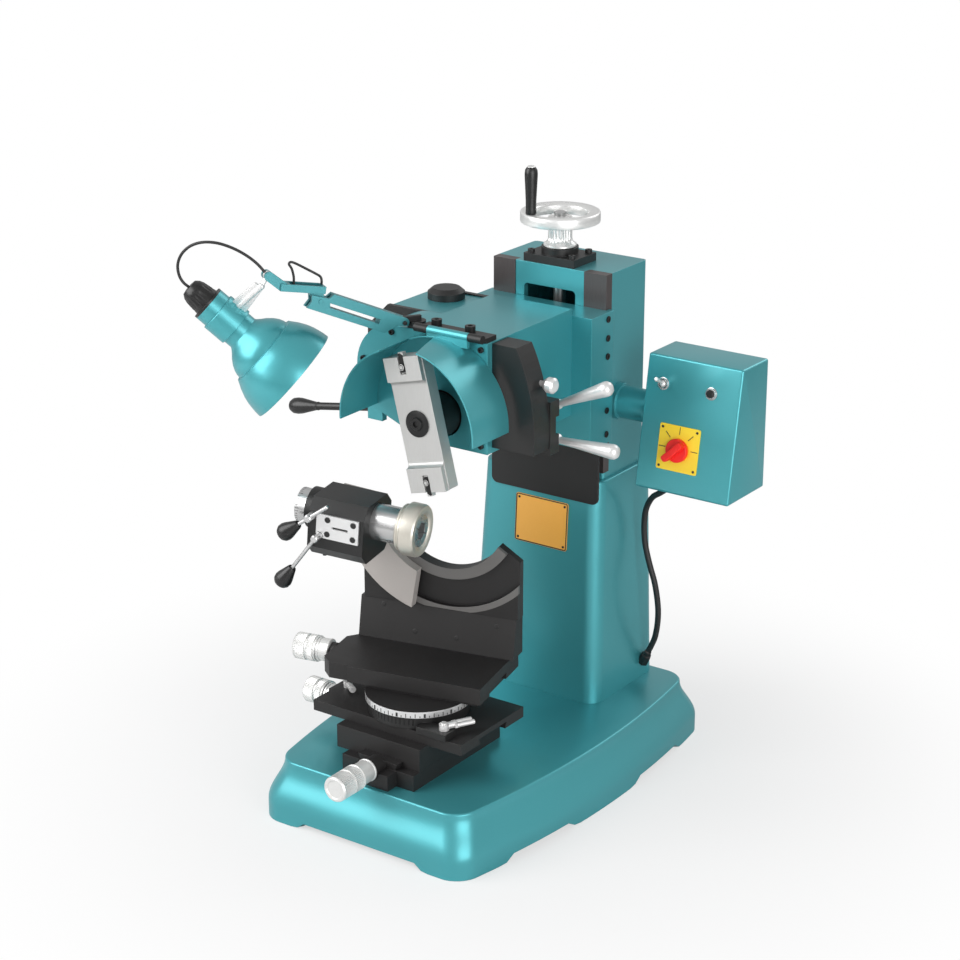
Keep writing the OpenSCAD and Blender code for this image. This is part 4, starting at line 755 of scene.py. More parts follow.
@dataclass
class Handwheel:
    """Three-spoked handwheel with a broad flat rim, a ribbed hub and a turning grip."""

    x: float = 0.0
    y: float = 187.5
    outer: float = 58.0
    inner: float = 41.0
    low: float = 795.0
    high: float = 811.0
    hub_z: float = 759.4
    hub_bore: float = 9.0
    spoke_middle: float = 3.6
    spoke_half: tuple[float, float] = (7.6, 4.4)
    grip_turn: float = 245.0
    grip_length: float = 68.0
    grip_bore: float = 4.05

    def build(self) -> None:
        """Makes the wheel, and the grip on its stud."""
        here = shift(self.x, self.y, 0)
        parts = [self.rim(), self.hub(), *self.spokes()]
        piece("wheel", joined([part.at(here) for part in parts]), "elevating_wheel", "bright_wheel",
              stands_for=("handwheel",), sharp=40)
        at_pin = here @ turn("z", self.grip_turn) @ shift((self.inner + self.outer) / 2, 0, self.high)
        n, bore = self.grip_length, self.grip_bore
        stud = revolved([(0, -4), (4, -4), (4, n + 0.4), (6, n + 0.45), (6, n + 1.4), (4.6, n + 2.3),
                         (0, n + 2.3)], 32)
        piece("wheel_stud", stud.at(at_pin), "elevating_wheel", "bright_wheel")
        grip = revolved([(bore, 0), (7.2, 0), (7.8, 1.5), (7.5, 8), (7.7, 20), (8.5, 38), (9.3, 53),
                         (9.45, 59), (8.9, 64), (7.2, 67.2), (bore, n)], 48, closed=True)
        piece("grip", grip.at(at_pin @ shift(0, 0, 0.2)), "wheel_grip", "black_plastic",
              stands_for=("wheel_grip",))

    def rim(self) -> Shell:
        """The flat rim with round edges."""
        r, b, lo, hi = self.outer, self.inner, self.low, self.high
        return revolved([(b + 2.4, lo), (r - 2.2, lo), (r - 0.6, lo + 0.7), (r, lo + 2.2), (r, hi - 2.6),
                         (r - 0.8, hi - 0.9), (r - 2.6, hi), (r - 11, hi - 0.2), (b + 2.6, hi - 1.2),
                         (b + 0.6, hi - 2.4), (b, hi - 4), (b + 0.6, lo + 1)], 96, closed=True)

    def hub(self) -> Shell:
        """The flanged hub, ribbed up to the spokes."""
        foot, lo, hi, bore = self.hub_z, self.low, self.high, self.hub_bore
        return revolved([(bore, foot), (23.4, foot), (24, foot + 0.6), (24, foot + 3), (21.5, foot + 4.4),
                         (18.6, foot + 7.5), (17.6, foot + 11), (17.5, foot + 13), (17.5, lo - 3),
                         (17.2, lo - 1), (17.4, hi - 9), (16, hi - 8), (bore, hi - 8)],
                        160, closed=True, flutes=20, depth=1.6, fluted=((foot + 10.5, lo - 2),))

    def spokes(self) -> list[Shell]:
        """Three flat oval spokes from the hub into the rim."""
        reach = np.linspace(13, self.inner + 3, 9)
        path = np.column_stack([reach, np.zeros((len(reach), 2))])
        oval = shift(0, 0, self.low + self.spoke_middle) @ np.diag([1.0, *self.spoke_half, 1.0])
        return [tube(path, 1.0, 24).at(turn("z", self.grip_turn + 120 * k) @ oval) for k in range(3)]


@dataclass
class FeedKnob:
    """Stepped feed knob with two fluted bands, on its screw."""

    name: str
    node: str
    body: str
    place: Array
    screw: tuple[float, float]
    radius: float = 19.5
    length: float = 56.0
    screw_radius: float = 5.0
    flutes: int = 45

    def build(self) -> None:
        """Makes the knob along +Z of its place, and the screw behind it."""
        r, n = self.radius, self.length
        neck, foot, band = 0.86 * r, 0.9 * r, r - 1.5
        step, groove = 0.34 * n, 0.62 * n
        profile = [(0, 0), (0.84 * r, 0), (foot, 1), (foot, 3), (neck, 3.6), (neck, step - 3.6),
                   (foot, step - 3), (foot, step - 0.5), (r - 1.2, step), (r, step + 1.2),
                   (r, 0.38 * n), (band, 0.39 * n), (band, 0.42 * n), (r, 0.43 * n), (r, 0.45 * n),
                   (r, 0.60 * n), (r, groove - 0.3), (band, groove + 0.3), (band, 0.66 * n), (r, 0.67 * n),
                   (r, 0.69 * n), (r, 0.92 * n), (r, 0.96 * n), (r - 0.8, n - 1), (r - 2, n), (r - 5, n),
                   (r - 6, n - 1.4), (0, n - 1.4)]
        knob = revolved(profile, 4 * self.flutes, flutes=self.flutes, depth=1.0,
                        fluted=((0.44 * n, 0.605 * n), (0.685 * n, 0.93 * n)))
        shaft = pin(self.screw_radius, *self.screw, 32)
        piece(self.name, joined([knob, shaft]).at(self.place), self.body, "knurled_steel",
              stands_for=(self.node,))


KNOBS = [
    FeedKnob("front_knob", "y_screw", "y_screw", shift(0, -284.4, 113.5) @ ALONG_MINUS_Y,
             (-228.0, 0.5), 18.5, 75.0),
    FeedKnob("cross_knob", "x_screw", "x_screw", shift(-150.4, -154, 133) @ turn("y", -90),
             (-201.0, 0.5)),
    FeedKnob("upper_knob", "upper_screw", "upper_screw", TABLE @ shift(-155, 40, 206) @ turn("y", -90),
             (-204.6, 0.5)),
]


@dataclass
class HandLever:
    """A lever with a hub, a round rod and a tapered black knob; reach is from the hub, in X and Z."""

    name: str
    node: str
    body: str
    place: Array
    hub: tuple[float, float]
    reach: tuple[float, float]
    tail: float
    face: float = -46.0
    stand_off: float = 14.0

    def build(self) -> None:
        """Makes the steel lever and its knob, from the face that the hub stands on."""
        dx, dz = self.reach
        n, tail = math.hypot(dx, dz), self.tail
        swing = shift(self.hub[0], 0, self.hub[1])
        along = swing @ shift(0, self.face - self.stand_off, 0) @ turn("y", math.degrees(math.atan2(dx, dz)))
        hub = revolved([(0, -8), (3, -8), (3, 0.1), (5.0, 0.1), (5.4, 0.6), (5.4, 18.8), (4.2, 20),
                        (0, 20)], 32)
        stem = revolved([(0, -tail), (2.0, -tail), (2.8, -tail + 1), (2.8, n - 14), (0, n - 14)], 24)
        steel = joined([hub.at(swing @ shift(0, self.face, 0) @ ALONG_MINUS_Y), stem.at(along)])
        piece(self.name, steel.at(self.place), self.body, "chrome", "steel_spindle", (self.node,))
        knob = revolved([(0, n - 22), (5.4, n - 22), (6.3, n - 20.5), (9.0, n - 12), (11.9, n - 3),
                         (12.9, n + 2), (12.3, n + 6.8), (9.8, n + 10.6), (5.6, n + 12.5), (0, n + 12.9)], 40)
        piece(self.name + "_knob", knob.at(self.place @ along), self.body, "chrome", "black_plastic")


LEVERS = [
    HandLever("index_lever_bar", "index_lever", "index_lever", WORK, (-142.5, 9), (-32, -26), 36),
    HandLever("work_lever_bar", "work_lever", "work_lever", WORK, (-131, -18.5), (-45, -70), 0),
]


@dataclass
class ClampLever:
    """Polished tapered clamp lever, thick at its round outer end."""

    name: str
    node: str
    z: float
    lean: float
    length: float
    x: float = 137.0
    y: float = -34.0

    def build(self) -> None:
        """Makes the lever on its stud, which runs along Y into the clamp block."""
        stud = revolved([(0, 0), (4, 0), (4, 16.4), (7.0, 16.4), (7.5, 17), (7.5, 28), (6.5, 29),
                         (0, 29)], 32)
        n = self.length
        bar = revolved([(0, 0), (4.5, 0), (4.8, 6), (6.9, n * 0.45), (9.8, n - 10), (10.7, n),
                        (10.2, n + 4.5), (7.8, n + 8.4), (4.2, n + 10.4), (0, n + 10.8)], 40)
        steel = [stud.at(shift(self.x, self.y - 16, self.z) @ turn("x", -90)),
                 bar.at(shift(self.x, self.y + 7, self.z) @ turn("y", 90 - self.lean))]
        piece(self.name, joined(steel), self.node, "chrome", stands_for=(self.node,))


@dataclass
class FeedLever:
    """Black hand lever at the head's left."""

    x: float = -138.0
    z: float = 553.0
    rod_y: float = -57.0
    hub_y: float = -48.0
    droop: float = 9.7
    bore: float = 6.05

    def build(self) -> None:
        """Makes the hub, the rod and the long tapered knob."""
        along = shift(self.x, self.rod_y, self.z) @ turn("y", -self.droop) @ turn("y", -90)
        bar = revolved([(0, 8), (5.5, 8), (5.5, 118), (6.4, 120), (6.0, 122), (6.6, 126), (9.4, 140),
                        (11.6, 151), (12, 158), (11.4, 164.5), (8.6, 169.5), (4.6, 171.2), (0, 171.6)], 48)
        hub = revolved([(self.bore, 0), (11, 0), (12, 1), (12, 16.6), (11, 17.6), (self.bore, 17.6)],
                       48, closed=True)
        shell = joined([bar.at(along), hub.at(shift(self.x, self.hub_y, self.z) @ ALONG_MINUS_Y)])
        piece("feed_handle", shell, "feed_lever", "black_plastic", stands_for=("feed_lever",))


# ---------------------------------------------------------------- lamp

@dataclass
class Lamp:
    """Spun shade with a step, its socket with cooling slots, the bulb, and the bow on the arm."""

    mouth: float = 71.0
    sheet: float = 1.5
    neck: float = 25.0
    neck_top: float = 150.0
    lining: float = 0.25
    collar_half: float = 16.3
    bulb_radius: float = 28.0
    bulb_middle: float = 52.0
    bow_wire: float = 1.7
    # stiff black wire bow that stands on the upper arm's channel
    bow: tuple[tuple[float, float, float], ...] = (
        (175, -2, 772), (174.5, -3, 784), (177, -3, 795), (180.5, -3, 801.5), (178, -3, 804.2),
        (171, -3, 801.5), (156, -3, 792.5), (143, -3, 784.5), (137, -3, 780), (135.5, -2.5, 775),
        (136, -2.5, 764))

    def build(self) -> None:
        """Makes the shade, what is in it, its collar and bracket, and the bow."""
        self.shade()
        self.socket()
        self.collar()
        bow = tube(smooth_route(np.array(self.bow, float)), self.bow_wire, 14)
        piece("arm_bow", bow.at(ARMS), "lamp_upper_arm", "arm_enamel", "black_plastic")

    def shade(self) -> None:
        """Makes the shade, turned from its mouth to its neck, and its pale lining."""
        r, neck = self.mouth, self.neck
        outer = [(r, 0.0), (r, 1.0), (r * 0.992, 8), (r * 0.975, 15), (r * 0.955, 22), (r * 0.915, 31),
                 (r * 0.862, 39), (r * 0.835, 43), (r * 0.79, 48), (r * 0.765, 51), (r * 0.745, 53.5),
                 (r * 0.69, 54.5), (r * 0.68, 59), (r * 0.65, 65), (r * 0.595, 71.5), (r * 0.51, 78.5),
                 (r * 0.43, 83.5), (neck + 1.2, 88), (neck, 90), (neck, self.neck_top)]
        # The wall is drawn under the dome, and upright below it and at the neck's end.
        drop = [self.sheet if 30 < b < self.neck_top - 1 else 0 for _, b in outer]
        inner = [(a - self.sheet, b - d) for (a, b), d in zip(outer, drop)]
        piece("shade", revolved(outer + inner[::-1], 96, closed=True).at(LAMP), "lamp_head", "teal_enamel",
              "teal_sheet", stands_for=("lamp_shade",), sharp=28)
        against = [(a - 0.15, b) for a, b in inner[1:18]]
        skin = against + [(a - self.lining, b) for a, b in against[::-1]]
        piece("shade_lining", revolved(skin, 96, closed=True).at(LAMP), "lamp_head", "teal_enamel",
              "lamp_lining")

    def socket(self) -> None:
        """Makes the socket with its slotted cap, and the bulb: a ball of radius (sin t, -cos t)."""
        top, neck, bore = self.neck_top, self.neck, self.neck - self.sheet
        cap = [(0, top - 30), (bore, top - 30), (bore, top), (neck, top), (neck, top + 3), (20.2, top + 3.4),
               (20, top + 6), (19.4, top + 9), (19.8, top + 10.5), (18.6, top + 20), (18, top + 23),
               (16, top + 29), (12, top + 34), (6, top + 35), (0, top + 35)]
        socket = revolved(cap, 72, flutes=18, depth=1.4, fluted=((top + 9.5, top + 22),))
        piece("socket", socket.at(LAMP), "lamp_head", "black_plastic", stands_for=("lamp_socket",))
        r, middle, foot = self.bulb_radius, self.bulb_middle, top - 30.1
        bulb = [(0, 24)] + [(r * math.sin(t), middle - r * math.cos(t)) for t in np.linspace(0.15, 2.25, 18)]
        bulb += [(14, 76), (13, 82), (13, foot), (0, foot)]
        piece("bulb", revolved(bulb, 48).at(LAMP), "lamp_head", "black_plastic", "lamp_glass")

    def collar(self) -> None:
        """Makes the collar round the neck, and the bracket's web from it to the wrist."""
        bore, skin = self.neck + 0.05, self.neck + 2.8
        low, high = WRIST_UP - self.collar_half, WRIST_UP + self.collar_half
        collar = revolved([(bore, low), (skin - 0.5, low), (skin, low + 0.7), (skin, high - 0.7),
                           (skin - 0.5, high), (bore, high)], 72, closed=True)
        piece("neck_collar", collar.at(LAMP), "lamp_head", "teal_enamel", "teal_sheet")
        web = slab(rounded_outline([(-49, -7.5), (0, -12), (0, 11), (-49, 6.5)], 3, 5), -2.2, 2.2, 0.8)
        place = LAMP @ shift(-26.2, 0, WRIST_UP) @ turn("z", -7.9) @ ALONG_MINUS_Y
        piece("bracket_web", web.at(place), "lamp_head", "chrome")


# ---------------------------------------------------------------- work head and table

@dataclass
class WorkNose:
    """The plated nut and ring round the chuck, and the dial at the head's rear."""

    ring: float = 37.5
    nut: float = 33.5
    dial: float = 25.0
    dial_x: float = -181.5
    marks: int = 36

    def build(self) -> None:
        """Makes the nut with its grooves, and the dial's marks, longer at every fifth."""
        r, n = self.ring, self.nut
        nose = [(26, -27), (n - 1.5, -27), (n, -25.5), (n, -23.4), (n - 0.7, -22.9), (n - 0.7, -22.1),
                (n, -21.6), (n, -20.2), (n + 0.5, -19.4), (r - 1.5, -19), (r, -17.5), (r, -1), (r - 0.6, 1),
                (r - 2, 3), (28.5, 3), (26.5, 2), (24.5, -0.5), (23, -1), (23, -19), (26, -19)]
        shell = revolved(nose, 96, closed=True).at(WORK @ ALONG_X)
        piece("nose_nut", shell, "work_spindle", "nickel_nut", stands_for=("chuck_nut",))
        dial = WORK @ shift(self.dial_x, 0, 0) @ ALONG_X
        marks = []
        for k in range(self.marks):
            line = rectangle(-0.3, 0.3, 0, 4 if k % 5 else 6, 0.1, 2)
            place = dial @ turn("z", 360 / self.marks * k) @ turn("x", 90)
            marks.append(slab(line, self.dial - 0.1, self.dial + 0.12).at(place))
        piece("dial_marks", joined(marks), "work_spindle", "steel_spindle", "mark_ink")


@dataclass
class Scale:
    """Bright graduated band round the rotary table, with its marks."""

    radius: float = 76.0
    low: float = 180.4
    high: float = 189.6
    marks: int = 72

    def build(self) -> None:
        """Makes the band, and a mark at every five degrees: longer at every ten, wider at every thirty."""
        inner, outer = self.radius - 0.6, self.radius + 0.12
        band = [(inner, self.low), (outer, self.low), (outer, self.high), (inner, self.high)]
        piece("scale_band", revolved(band, 128, closed=True).at(TABLE), "rotary", "graduated_steel")
        marks = []
        for k in range(self.marks):
            tall = 6.5 if k % 2 == 0 else 3.6
            half = 1.5 if k % 6 == 0 else 0.55
            place = TABLE @ shift(0, 0, self.low) @ turn("z", 360 / self.marks * k + 90) @ turn("x", 90)
            line = rectangle(-half, half, 0.6, tall, 0.2, 2)
            marks.append(slab(line, self.radius - 0.2, self.radius + 0.25).at(place))
        piece("scale_marks", joined(marks), "rotary", "graduated_steel", "mark_ink")


# ---------------------------------------------------------------- controls and plates

@dataclass
class ControlBox:
    """Sheet-metal switch box with a sloping front, its switch plate, collars and gland."""

    width: float = 153.0
    rear: float = 240.0
    edge: float = 3.5
    # places on the sloping face, from its lower left corner
    plate: tuple[float, float, float, float] = (32.0, 98.0, 34.0, 100.0)
    selector: tuple[float, float] = (65.0, 65.0)
    toggle: tuple[float, float] = (29.0, 155.0)
    button: tuple[float, float] = (107.0, 154.0)
    gland: tuple[float, float] = (182.0, 205.0)

    def build(self) -> None:
        """Makes the box, and the parts that are fixed to its face."""
        top = BOX_LOW + BOX_HEIGHT
        side = rounded_outline([(BOX_FRONT, BOX_LOW), (self.rear, BOX_LOW), (self.rear, top),
                                (BOX_FRONT + BOX_SLOPE, top)], self.edge, 8)
        box = slab(side, 0, self.width, self.edge, 6)
        # The outline's plane is the row's Y and Z, and it is raised along X.
        carry = np.eye(4)
        carry[:3, :3] = np.array([[0, 0, 1], [1, 0, 0], [0, 1, 0]])
        piece("switch_box", box.at(shift(BOX_LEFT, 0, 0) @ carry), "frame", "teal_enamel", "teal_sheet",
              stands_for=("control_box",))
        out = BOX_FACE @ ALONG_MINUS_Y
        plate = slab(rectangle(*self.plate, 3), 0.02, 1.6, 0.5)
        piece("switch_plate", plate.at(out), "frame", "teal_enamel", "switch_yellow")
        left, right, low, high = self.plate
        stroke = slab(rectangle(-5.5, 5.5, -0.55, 0.55, 0.3, 3), 1.55, 1.75)
        middle = out @ shift((left + right) / 2, (low + high) / 2, 0)
        marks = [stroke.at(middle @ turn("z", a) @ shift(26, 0, 0)) for a in range(0, 181, 45)]
        dot = screw_head(1.9, 1.5, 2.6, (0.5, 0.4))
        marks += [dot.at(out @ shift(x, y, 0)) for x in (left + 5, right - 5) for y in (low + 5, high - 5)]
        piece("plate_marks", joined(marks), "frame", "teal_enamel", "mark_ink")
        collar = revolved([(6, -0.1), (9.2, -0.1), (9.2, 1.4), (8.2, 1.8), (7.8, 3.4), (6, 3.5)],
                          48, closed=True)
        collars = [collar.at(out @ shift(*place, 0)) for place in (self.toggle, self.button)]
        piece("switch_collars", joined(collars), "frame", "teal_enamel", "steel_spindle")
        gland = revolved([(4.5, -6), (7, -6), (9, -3.5), (9, 0.1), (4.5, 0.1)], 6, closed=True)
        piece("box_gland", gland.at(shift(*self.gland, BOX_LOW)), "frame", "teal_enamel", "black_plastic",
              sharp=25)
        self.knobs(out)

    def knobs(self, out: Array) -> None:
        """Makes the red selector, the toggle and the button.

        Args:
            out: the face's frame, with Z outwards.
        """
        body = revolved([(0, 2.0), (16.4, 2.0), (17, 2.6), (17, 7.6), (16, 9), (0, 9)], 64)
        grip = slab(rectangle(-5, 5, -21, 17, 3.5), 8, 19.6, 1.6).at(turn("z", -45))
        shaft = pin(3.95, -10, 2.2, 24)
        selector = joined([body, grip, shaft]).at(out @ shift(*self.selector, 0))
        piece("selector", selector, "selector_knob", "red_plastic", stands_for=("selector_knob",))
        ball = [(5.6 * math.sin(t), -5.6 * math.cos(t)) for t in np.linspace(0, math.pi, 16)]
        stick = [(0, 2), (1.8, 2), (1.9, 12), (2.9, 20), (3.4, 22.5), (2.6, 25), (0, 25.6)]
        lever = joined([revolved(ball, 32), revolved(stick, 24).at(turn("x", -20))])
        piece("toggle", lever.at(out @ shift(*self.toggle, 0)), "toggle_switch", "chrome",
              stands_for=("toggle_switch",))
        cap = revolved([(0, -6), (4, -6), (4, -4), (5.65, -4), (5.65, 5.6), (4.8, 6.8), (0, 7)], 40)
        piece("button", cap.at(out @ shift(*self.button, 0)), "push_button", "black_plastic",
              stands_for=("push_button",))


@dataclass
class NamePlate:
    """Bare gold plate with a dark border, held by four small screws."""

    x: float = 12.0
    up: float = 230.0
    width: float = 92.0
    height: float = 74.0
    margin: float = 6.0

    def build(self) -> None:
        """Makes the plate, its border and its screws, on the pedestal's sloping front."""
        wall = Pedestal()
        lean = math.degrees(math.atan2(wall.top[1] - wall.bottom[1], wall.high - wall.low))
        w, h = self.width / 2, self.height / 2
        out = (shift(self.x, wall.bottom[1], wall.low) @ turn("x", -lean) @ ALONG_MINUS_Y
               @ shift(0, self.up + h, 0))
        line = rectangle(-w, w, -h, h, 4)
        piece("plate", slab(line, 0.3, 1.5, 0.3).at(out), "frame", "gold_plate", stands_for=("name_plate",))
        band = [raised(inset(line, d), z) for d, z in ((0.6, 1.45), (0.6, 1.75), (2.2, 1.75), (2.2, 1.45))]
        piece("plate_border", grid_shell(np.array(band), wrap_rows=True).at(out), "frame", "gold_plate",
              "mark_ink")
        head = screw_head(1.9, 1.3, 2.4, (0.6, 0.5))
        x, y = w - self.margin, h - self.margin
        screws = [head.at(out @ shift(a, b, 0)) for a in (-x, x) for b in (-y, y)]
        piece("plate_screws", joined(screws), "frame", "gold_plate", "black_screws")


# ---------------------------------------------------------------- head details

@dataclass
class FlyBarDetails:
    """The hub's black disc and socket screw, and each tool bit with its clamp screw."""

    axis: float = 584.0
    lean: float = 14.0
    front: float = -161.0
    screw_at: float = 81.0

    def build(self) -> None:
        """Makes the pieces that stand on the bar."""
        face = shift(0, self.front, self.axis) @ turn("y", -self.lean) @ ALONG_MINUS_Y
        disc = revolved([(0, 0.3), (19.0, 0.3), (19.0, 1.6), (18.0, 2.2), (9.5, 2.2), (9.0, 4.2), (8.4, 4.8),
                         (4.6, 4.8), (4.6, 2.4), (0, 2.4)], 64)
        piece("hub_disc", disc.at(face), "cutter", "ground_bar", "black_screws")
        ground = rounded_outline([(-3.9, 73), (3.9, 73), (3.9, 97), (-1.5, 100.6), (-3.9, 99)], 0.6, 3)
        bit = slab(ground, -1.8, 6.3, 0.4)
        screw = screw_head(4.6, 0.5, 5.0, (0.7, 0.6), 2.3, 2.8, 32).at(shift(0, self.screw_at, 5))
        parts = [shell.at(face @ turn("z", end)) for end in (0, 180) for shell in (bit, screw)]
        piece("tool_bits", joined(parts), "cutter", "ground_bar", "black_screws")


@dataclass
class Screws:
    """Rows of socket screws that hold the covers; places are from each cover's own origin."""

    cover_y: float = -105.0
    cover: tuple[tuple[float, float], ...] = ((66, 549), (66, 686), (-64, 562), (-134, 640), (-84, 686))
    angle_at: tuple[float, float] = (82.0, 218.0)
    angle_slope: tuple[float, float] = (12.0, 59.0)
    angle: tuple[tuple[float, float], ...] = ((-96, 51), (-44, 19), (21, 19), (81, 45))
    side: tuple[tuple[float, float], ...] = ((-119, -14), (-119, 7), (-80, -14), (-80, 7))
    side_face: float = 49.1
    window: tuple[float, float, float, float] = (-111.5, -88.5, -4.7, -1.8)

    def build(self) -> None:
        """Makes the screws of the belt cover, the side plate and the angle plate, and the plate's window."""
        out = ALONG_MINUS_Y
        head = screw_head(4.2, 0, 3.8, (0.6, 0.6), 2.1, 1.8)
        cover = [head.at(shift(x, self.cover_y, z) @ out) for x, z in self.cover]
        piece("cover_screws", joined(cover), "head", "teal_enamel", "black_screws")
        lean = math.atan2(*self.angle_slope)
        face = TABLE @ shift(0, *self.angle_at) @ turn("x", -math.degrees(lean)) @ out
        bolt = screw_head(3.6, -0.2, 0.55, (0.4, 0.2), 1.9, 0.2)
        bolts = [bolt.at(face @ shift(x, up / math.cos(lean), 0)) for x, up in self.angle]
        piece("angle_bolts", joined(bolts), "upper_slide", "dark_cast", "mark_ink")
        flat = self.side_face
        low = screw_head(4.2, flat, flat + 0.8, (0.7, 0.4), 2.0, flat + 0.2)
        dark = [low.at(WORK @ shift(x, 0, z) @ out) for x, z in self.side]
        dark.append(slab(rectangle(*self.window, 0.8, 4), flat - 2.2, flat - 1.8).at(WORK @ out))
        piece("side_plate_marks", joined(dark), "work_head", "ground_bar", "mark_ink")


class Kept:
    """The solids whose shape is final, and the finish that each one gets."""

    looks: dict[str, tuple[str, ...]] = {
        "teal_enamel": ("column", "control_tube", "saddle", "head_body", "belt_cover", "motor_housing"),
        "teal_sheet": ("guard_hood",),
        "arm_enamel": ("lamp_lower_arm", "lamp_upper_arm"),
        "black_enamel": ("bearing_flange", "motor_ends", "guard_hinge", "side_quadrant", "apron",
                         "lamp_base", "rotary_base", "work_body"),
        "dark_cast": ("y_bed", "y_carriage", "x_plate", "upper_slide", "angle_plate", "rotary_table"),
        "ground_way": ("column_ways",),
        "ground_cradle": ("cradle",),
        "ground_sector": ("sector",),
        "steel_screw": ("lead_screw",),
        "steel_spindle": ("motor_rotor", "work_spindle"),
        "ground_bar": ("fly_bar",),
        "graduated_steel": ("side_plate",),
        "chrome": ("plunger_knob", "lamp_bracket", "rotary_lock", "thumb_lever"),
        "black_screws": ("head_screws", "spindle"),
        "belt_rubber": ("drive_belt",)}

    # middle and half width of the two rims beside the arc's track, from the tilt axis: the inner one a ground
    # band, the outer one a painted highlight on the recess's chamfer
    rims: tuple[tuple[float, float], ...] = ((98.0, 8.0), (152.5, 4.5))
    rim_rear: float = 98.0
    rim_and_highlight_colour: tuple[float, float, float, float] = (0.15, 0.145, 0.14, 1.0)

    def build(self) -> None:
        """Gives each kept solid its material."""
        for look, names in self.looks.items():
            for name in names:
                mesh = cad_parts[name].data
                mesh.materials.clear()
                mesh.materials.append(finish(look))
        self.ground_rims_and_painted_highlight(Graph(finish("ground_cradle")))

    def ground_rims_and_painted_highlight(self, graph: Graph) -> None:
        """Lightens the rims, the inner one as a ground band and the outer one as a painted highlight on the
        chamfer: the distance from the tilt axis is the length of (x, z) in the table's frame.

        Args:
            graph: the nodes of the cradle's material.
        """
        local = graph.add("Mapping", {"Vector": graph.add("TexCoord").outputs["Object"],
                                      "Location": TILT_AXIS[:3, 3] * MM,
                                      "Rotation": (0, 0, math.radians(TABLE_TURN))}, vector_type="TEXTURE")
        place = local.outputs["Vector"]
        flat = graph.add("VectorMath", {0: place, 1: (1, 0, 1)}, operation="MULTIPLY").outputs["Vector"]
        reach = graph.add("VectorMath", {0: flat}, operation="LENGTH").outputs["Value"]
        inside = [graph.math("COMPARE", reach, middle * MM, half * MM) for middle, half in self.rims]
        depth = graph.add("SeparateXYZ", {0: place}).outputs["Y"]
        front = graph.math("LESS_THAN", depth, self.rim_rear * MM)
        # the outer rim's lighter colour is a painted highlight; the inner rim's is the ground face's own
        # colour
        share = graph.math("MULTIPLY", graph.math("ADD", *inside), front)
        shader = graph.nodes["Principled BSDF"]
        cast = shader.inputs["Base Color"].links[0].from_socket
        graph.feed(shader, {"Base Color": graph.blend(cast, self.rim_and_highlight_colour, share)})


# ---------------------------------------------------------------- studio

@dataclass(frozen=True)
class SoftLight:
    """A square lamp that faces the machine's middle; lengths in metres, power in watts."""

    name: str
    place: tuple[float, float, float]
    size: float
    power: float
    aim: tuple[float, float, float] = (0.0, -0.05, 0.4)

    def build(self) -> None:
        """Makes the lamp."""
        data = bpy.data.lights.new(self.name, "AREA")
        data.size, data.energy = self.size, self.power
        obj = bpy.data.objects.new(self.name, data)
        obj.location = self.place
        obj.rotation_euler = (Vector(self.aim) - Vector(self.place)).to_track_quat("-Z", "Y").to_euler()
        bpy.context.scene.collection.objects.link(obj)


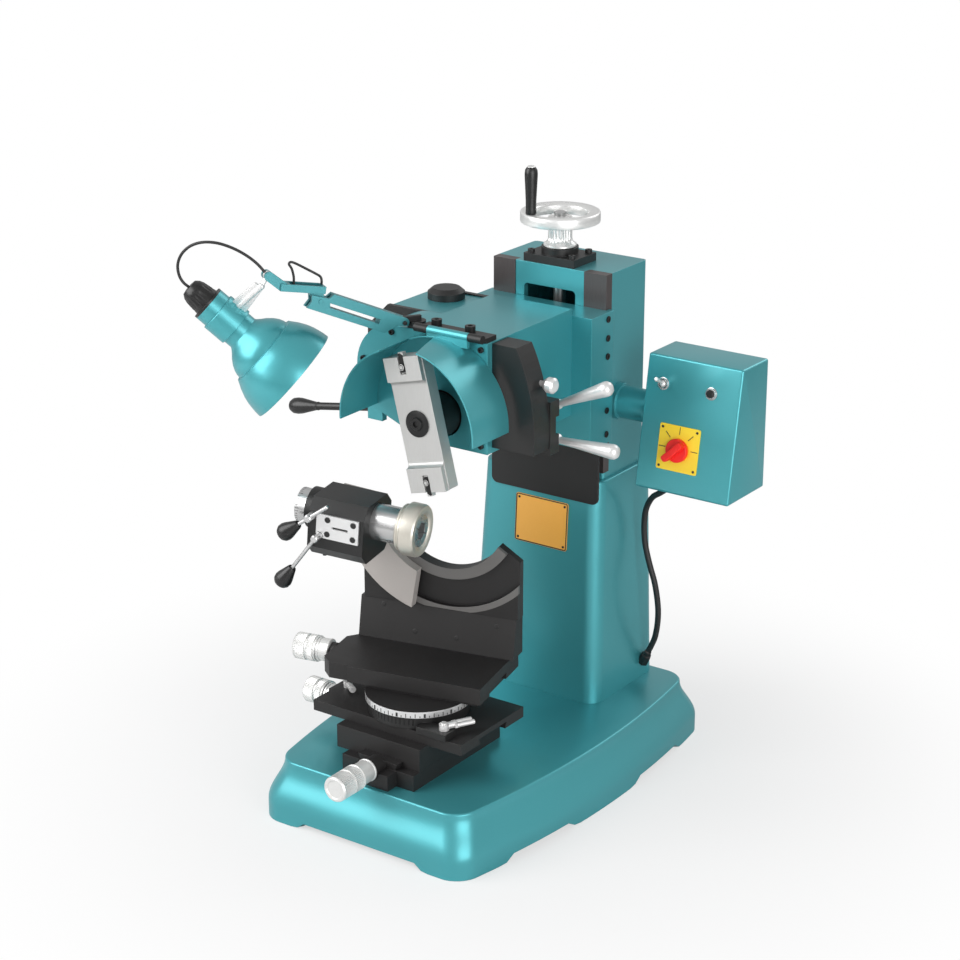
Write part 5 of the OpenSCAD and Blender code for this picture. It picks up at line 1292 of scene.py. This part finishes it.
@dataclass
class Studio:
    """Camera, lamps, pale floor and world, in metres."""

    eye: tuple[float, float, float] = (1.8375, -2.638, 1.625)
    azimuth: float = 35.0
    elevation: float = 20.0
    lens: float = 90.0
    sensor: float = 36.0
    lights: tuple[SoftLight, ...] = (SoftLight("key", (-1.6, -2.1, 1.9), 2.4, 84.0),
                                     SoftLight("fill", (2.6, -1.5, 1.0), 2.2, 60.0),
                                     SoftLight("back", (0.6, 2.4, 2.2), 1.6, 16.0))
    ambient: float = 0.27
    mirrored: float = 0.64
    floor_half: float = 25.0
    floor_z: float = -0.0005
    floor_grey: tuple[float, float] = (0.80, 0.84)
    # white for the camera: in part near the feet, so that their shadow shows, and wholly further out
    near: tuple[float, float] = (0.30, 0.62)
    far: tuple[float, float] = (0.90, 1.0)

    def camera(self) -> None:
        """Makes the camera: it looks along (-sin az cos el, cos az cos el, -sin el)."""
        az, el = math.radians(self.azimuth), math.radians(self.elevation)
        data = bpy.data.cameras.new("camera")
        data.lens = self.lens
        data.sensor_width = self.sensor
        obj = bpy.data.objects.new("camera", data)
        obj.location = self.eye
        ahead = Vector((-math.sin(az) * math.cos(el), math.cos(az) * math.cos(el), -math.sin(el)))
        obj.rotation_euler = ahead.to_track_quat("-Z", "Y").to_euler()
        bpy.context.scene.collection.objects.link(obj)
        bpy.context.scene.camera = obj

    def build(self) -> None:
        """Makes the lamps, the world and the floor."""
        for light in self.lights:
            light.build()
        self.world()
        self.floor()

    def world(self) -> None:
        """Pale light from all round; the camera sees white, and mirrors see it a little darker."""
        world = bpy.data.worlds.new("world")
        bpy.context.scene.world = world
        graph = Graph(world)
        rays = graph.add("LightPath").outputs
        seen = graph.math("MAXIMUM", rays["Is Camera Ray"], rays["Is Transmission Ray"])
        mirrored = graph.math("MULTIPLY", rays["Is Glossy Ray"], self.mirrored)
        strength = graph.math("MAXIMUM", graph.between(self.ambient, 1.0, seen), mirrored)
        graph.feed(graph.nodes["Background"], {"Color": (1, 1, 1, 1), "Strength": strength})

    def floor(self) -> None:
        """A wide white floor just under the feet."""
        mesh = bpy.data.meshes.new("floor")
        corners = [(-1, -1), (1, -1), (1, 1), (-1, 1)]
        mesh.from_pydata([(x * self.floor_half, y * self.floor_half, self.floor_z) for x, y in corners],
                         [], [(0, 1, 2, 3)])
        obj = bpy.data.objects.new("floor", mesh)
        bpy.context.scene.collection.objects.link(obj)
        material = bpy.data.materials.new("floor")
        graph = Graph(material)
        where = graph.add("TexCoord").outputs["Object"]
        grain = graph.add("TexNoise", {"Vector": where, "Scale": 3.0}).outputs["Fac"]
        grey = graph.between(*self.floor_grey, grain)
        matt = {"Base Color": grey, "Roughness": 0.9, "Specular IOR Level": 0.1}
        shader = graph.feed(graph.nodes["Principled BSDF"], matt)
        away = graph.add("VectorMath", {0: where}, operation="LENGTH").outputs["Value"]
        fade = graph.add("MapRange", {"Value": away, "From Min": self.near[0], "From Max": self.far[0],
                                      "To Min": self.near[1], "To Max": self.far[1]},
                         interpolation_type="SMOOTHSTEP").outputs["Result"]
        share = graph.math("MULTIPLY", fade, graph.add("LightPath").outputs["Is Camera Ray"])
        glow = graph.add("Emission")
        both = graph.add("MixShader", {"Fac": share, 1: shader.outputs[0], 2: glow.outputs[0]})
        graph.feed(graph.nodes["Material Output"], {"Surface": both.outputs[0]})
        mesh.materials.append(material)


def main() -> None:
    """Builds the picture: camera and leads first, then the machine from the floor up, then the studio."""
    logging.basicConfig(level=logging.INFO, format="%(name)s %(message)s")
    bpy.context.scene.view_settings.view_transform = "Standard"
    studio = Studio()
    studio.camera()
    for lead in LEADS:
        lead.build()
    clamps = [ClampLever("upper_clamp", "upper_clamp_lever", 601, 25, 86),
              ClampLever("lower_clamp", "lower_clamp_lever", 551, 0, 90)]
    parts = [Kept(), BaseCasting(), Pedestal(), Handwheel(), *KNOBS, *LEVERS, *clamps, FeedLever(), Lamp(),
             WorkNose(), Scale(), ControlBox(), NamePlate(), FlyBarDetails(), Screws()]
    for part in [*parts, studio]:
        LOG.info("building %s", type(part).__name__)
        part.build()


if __name__ == "__main__":
    main()
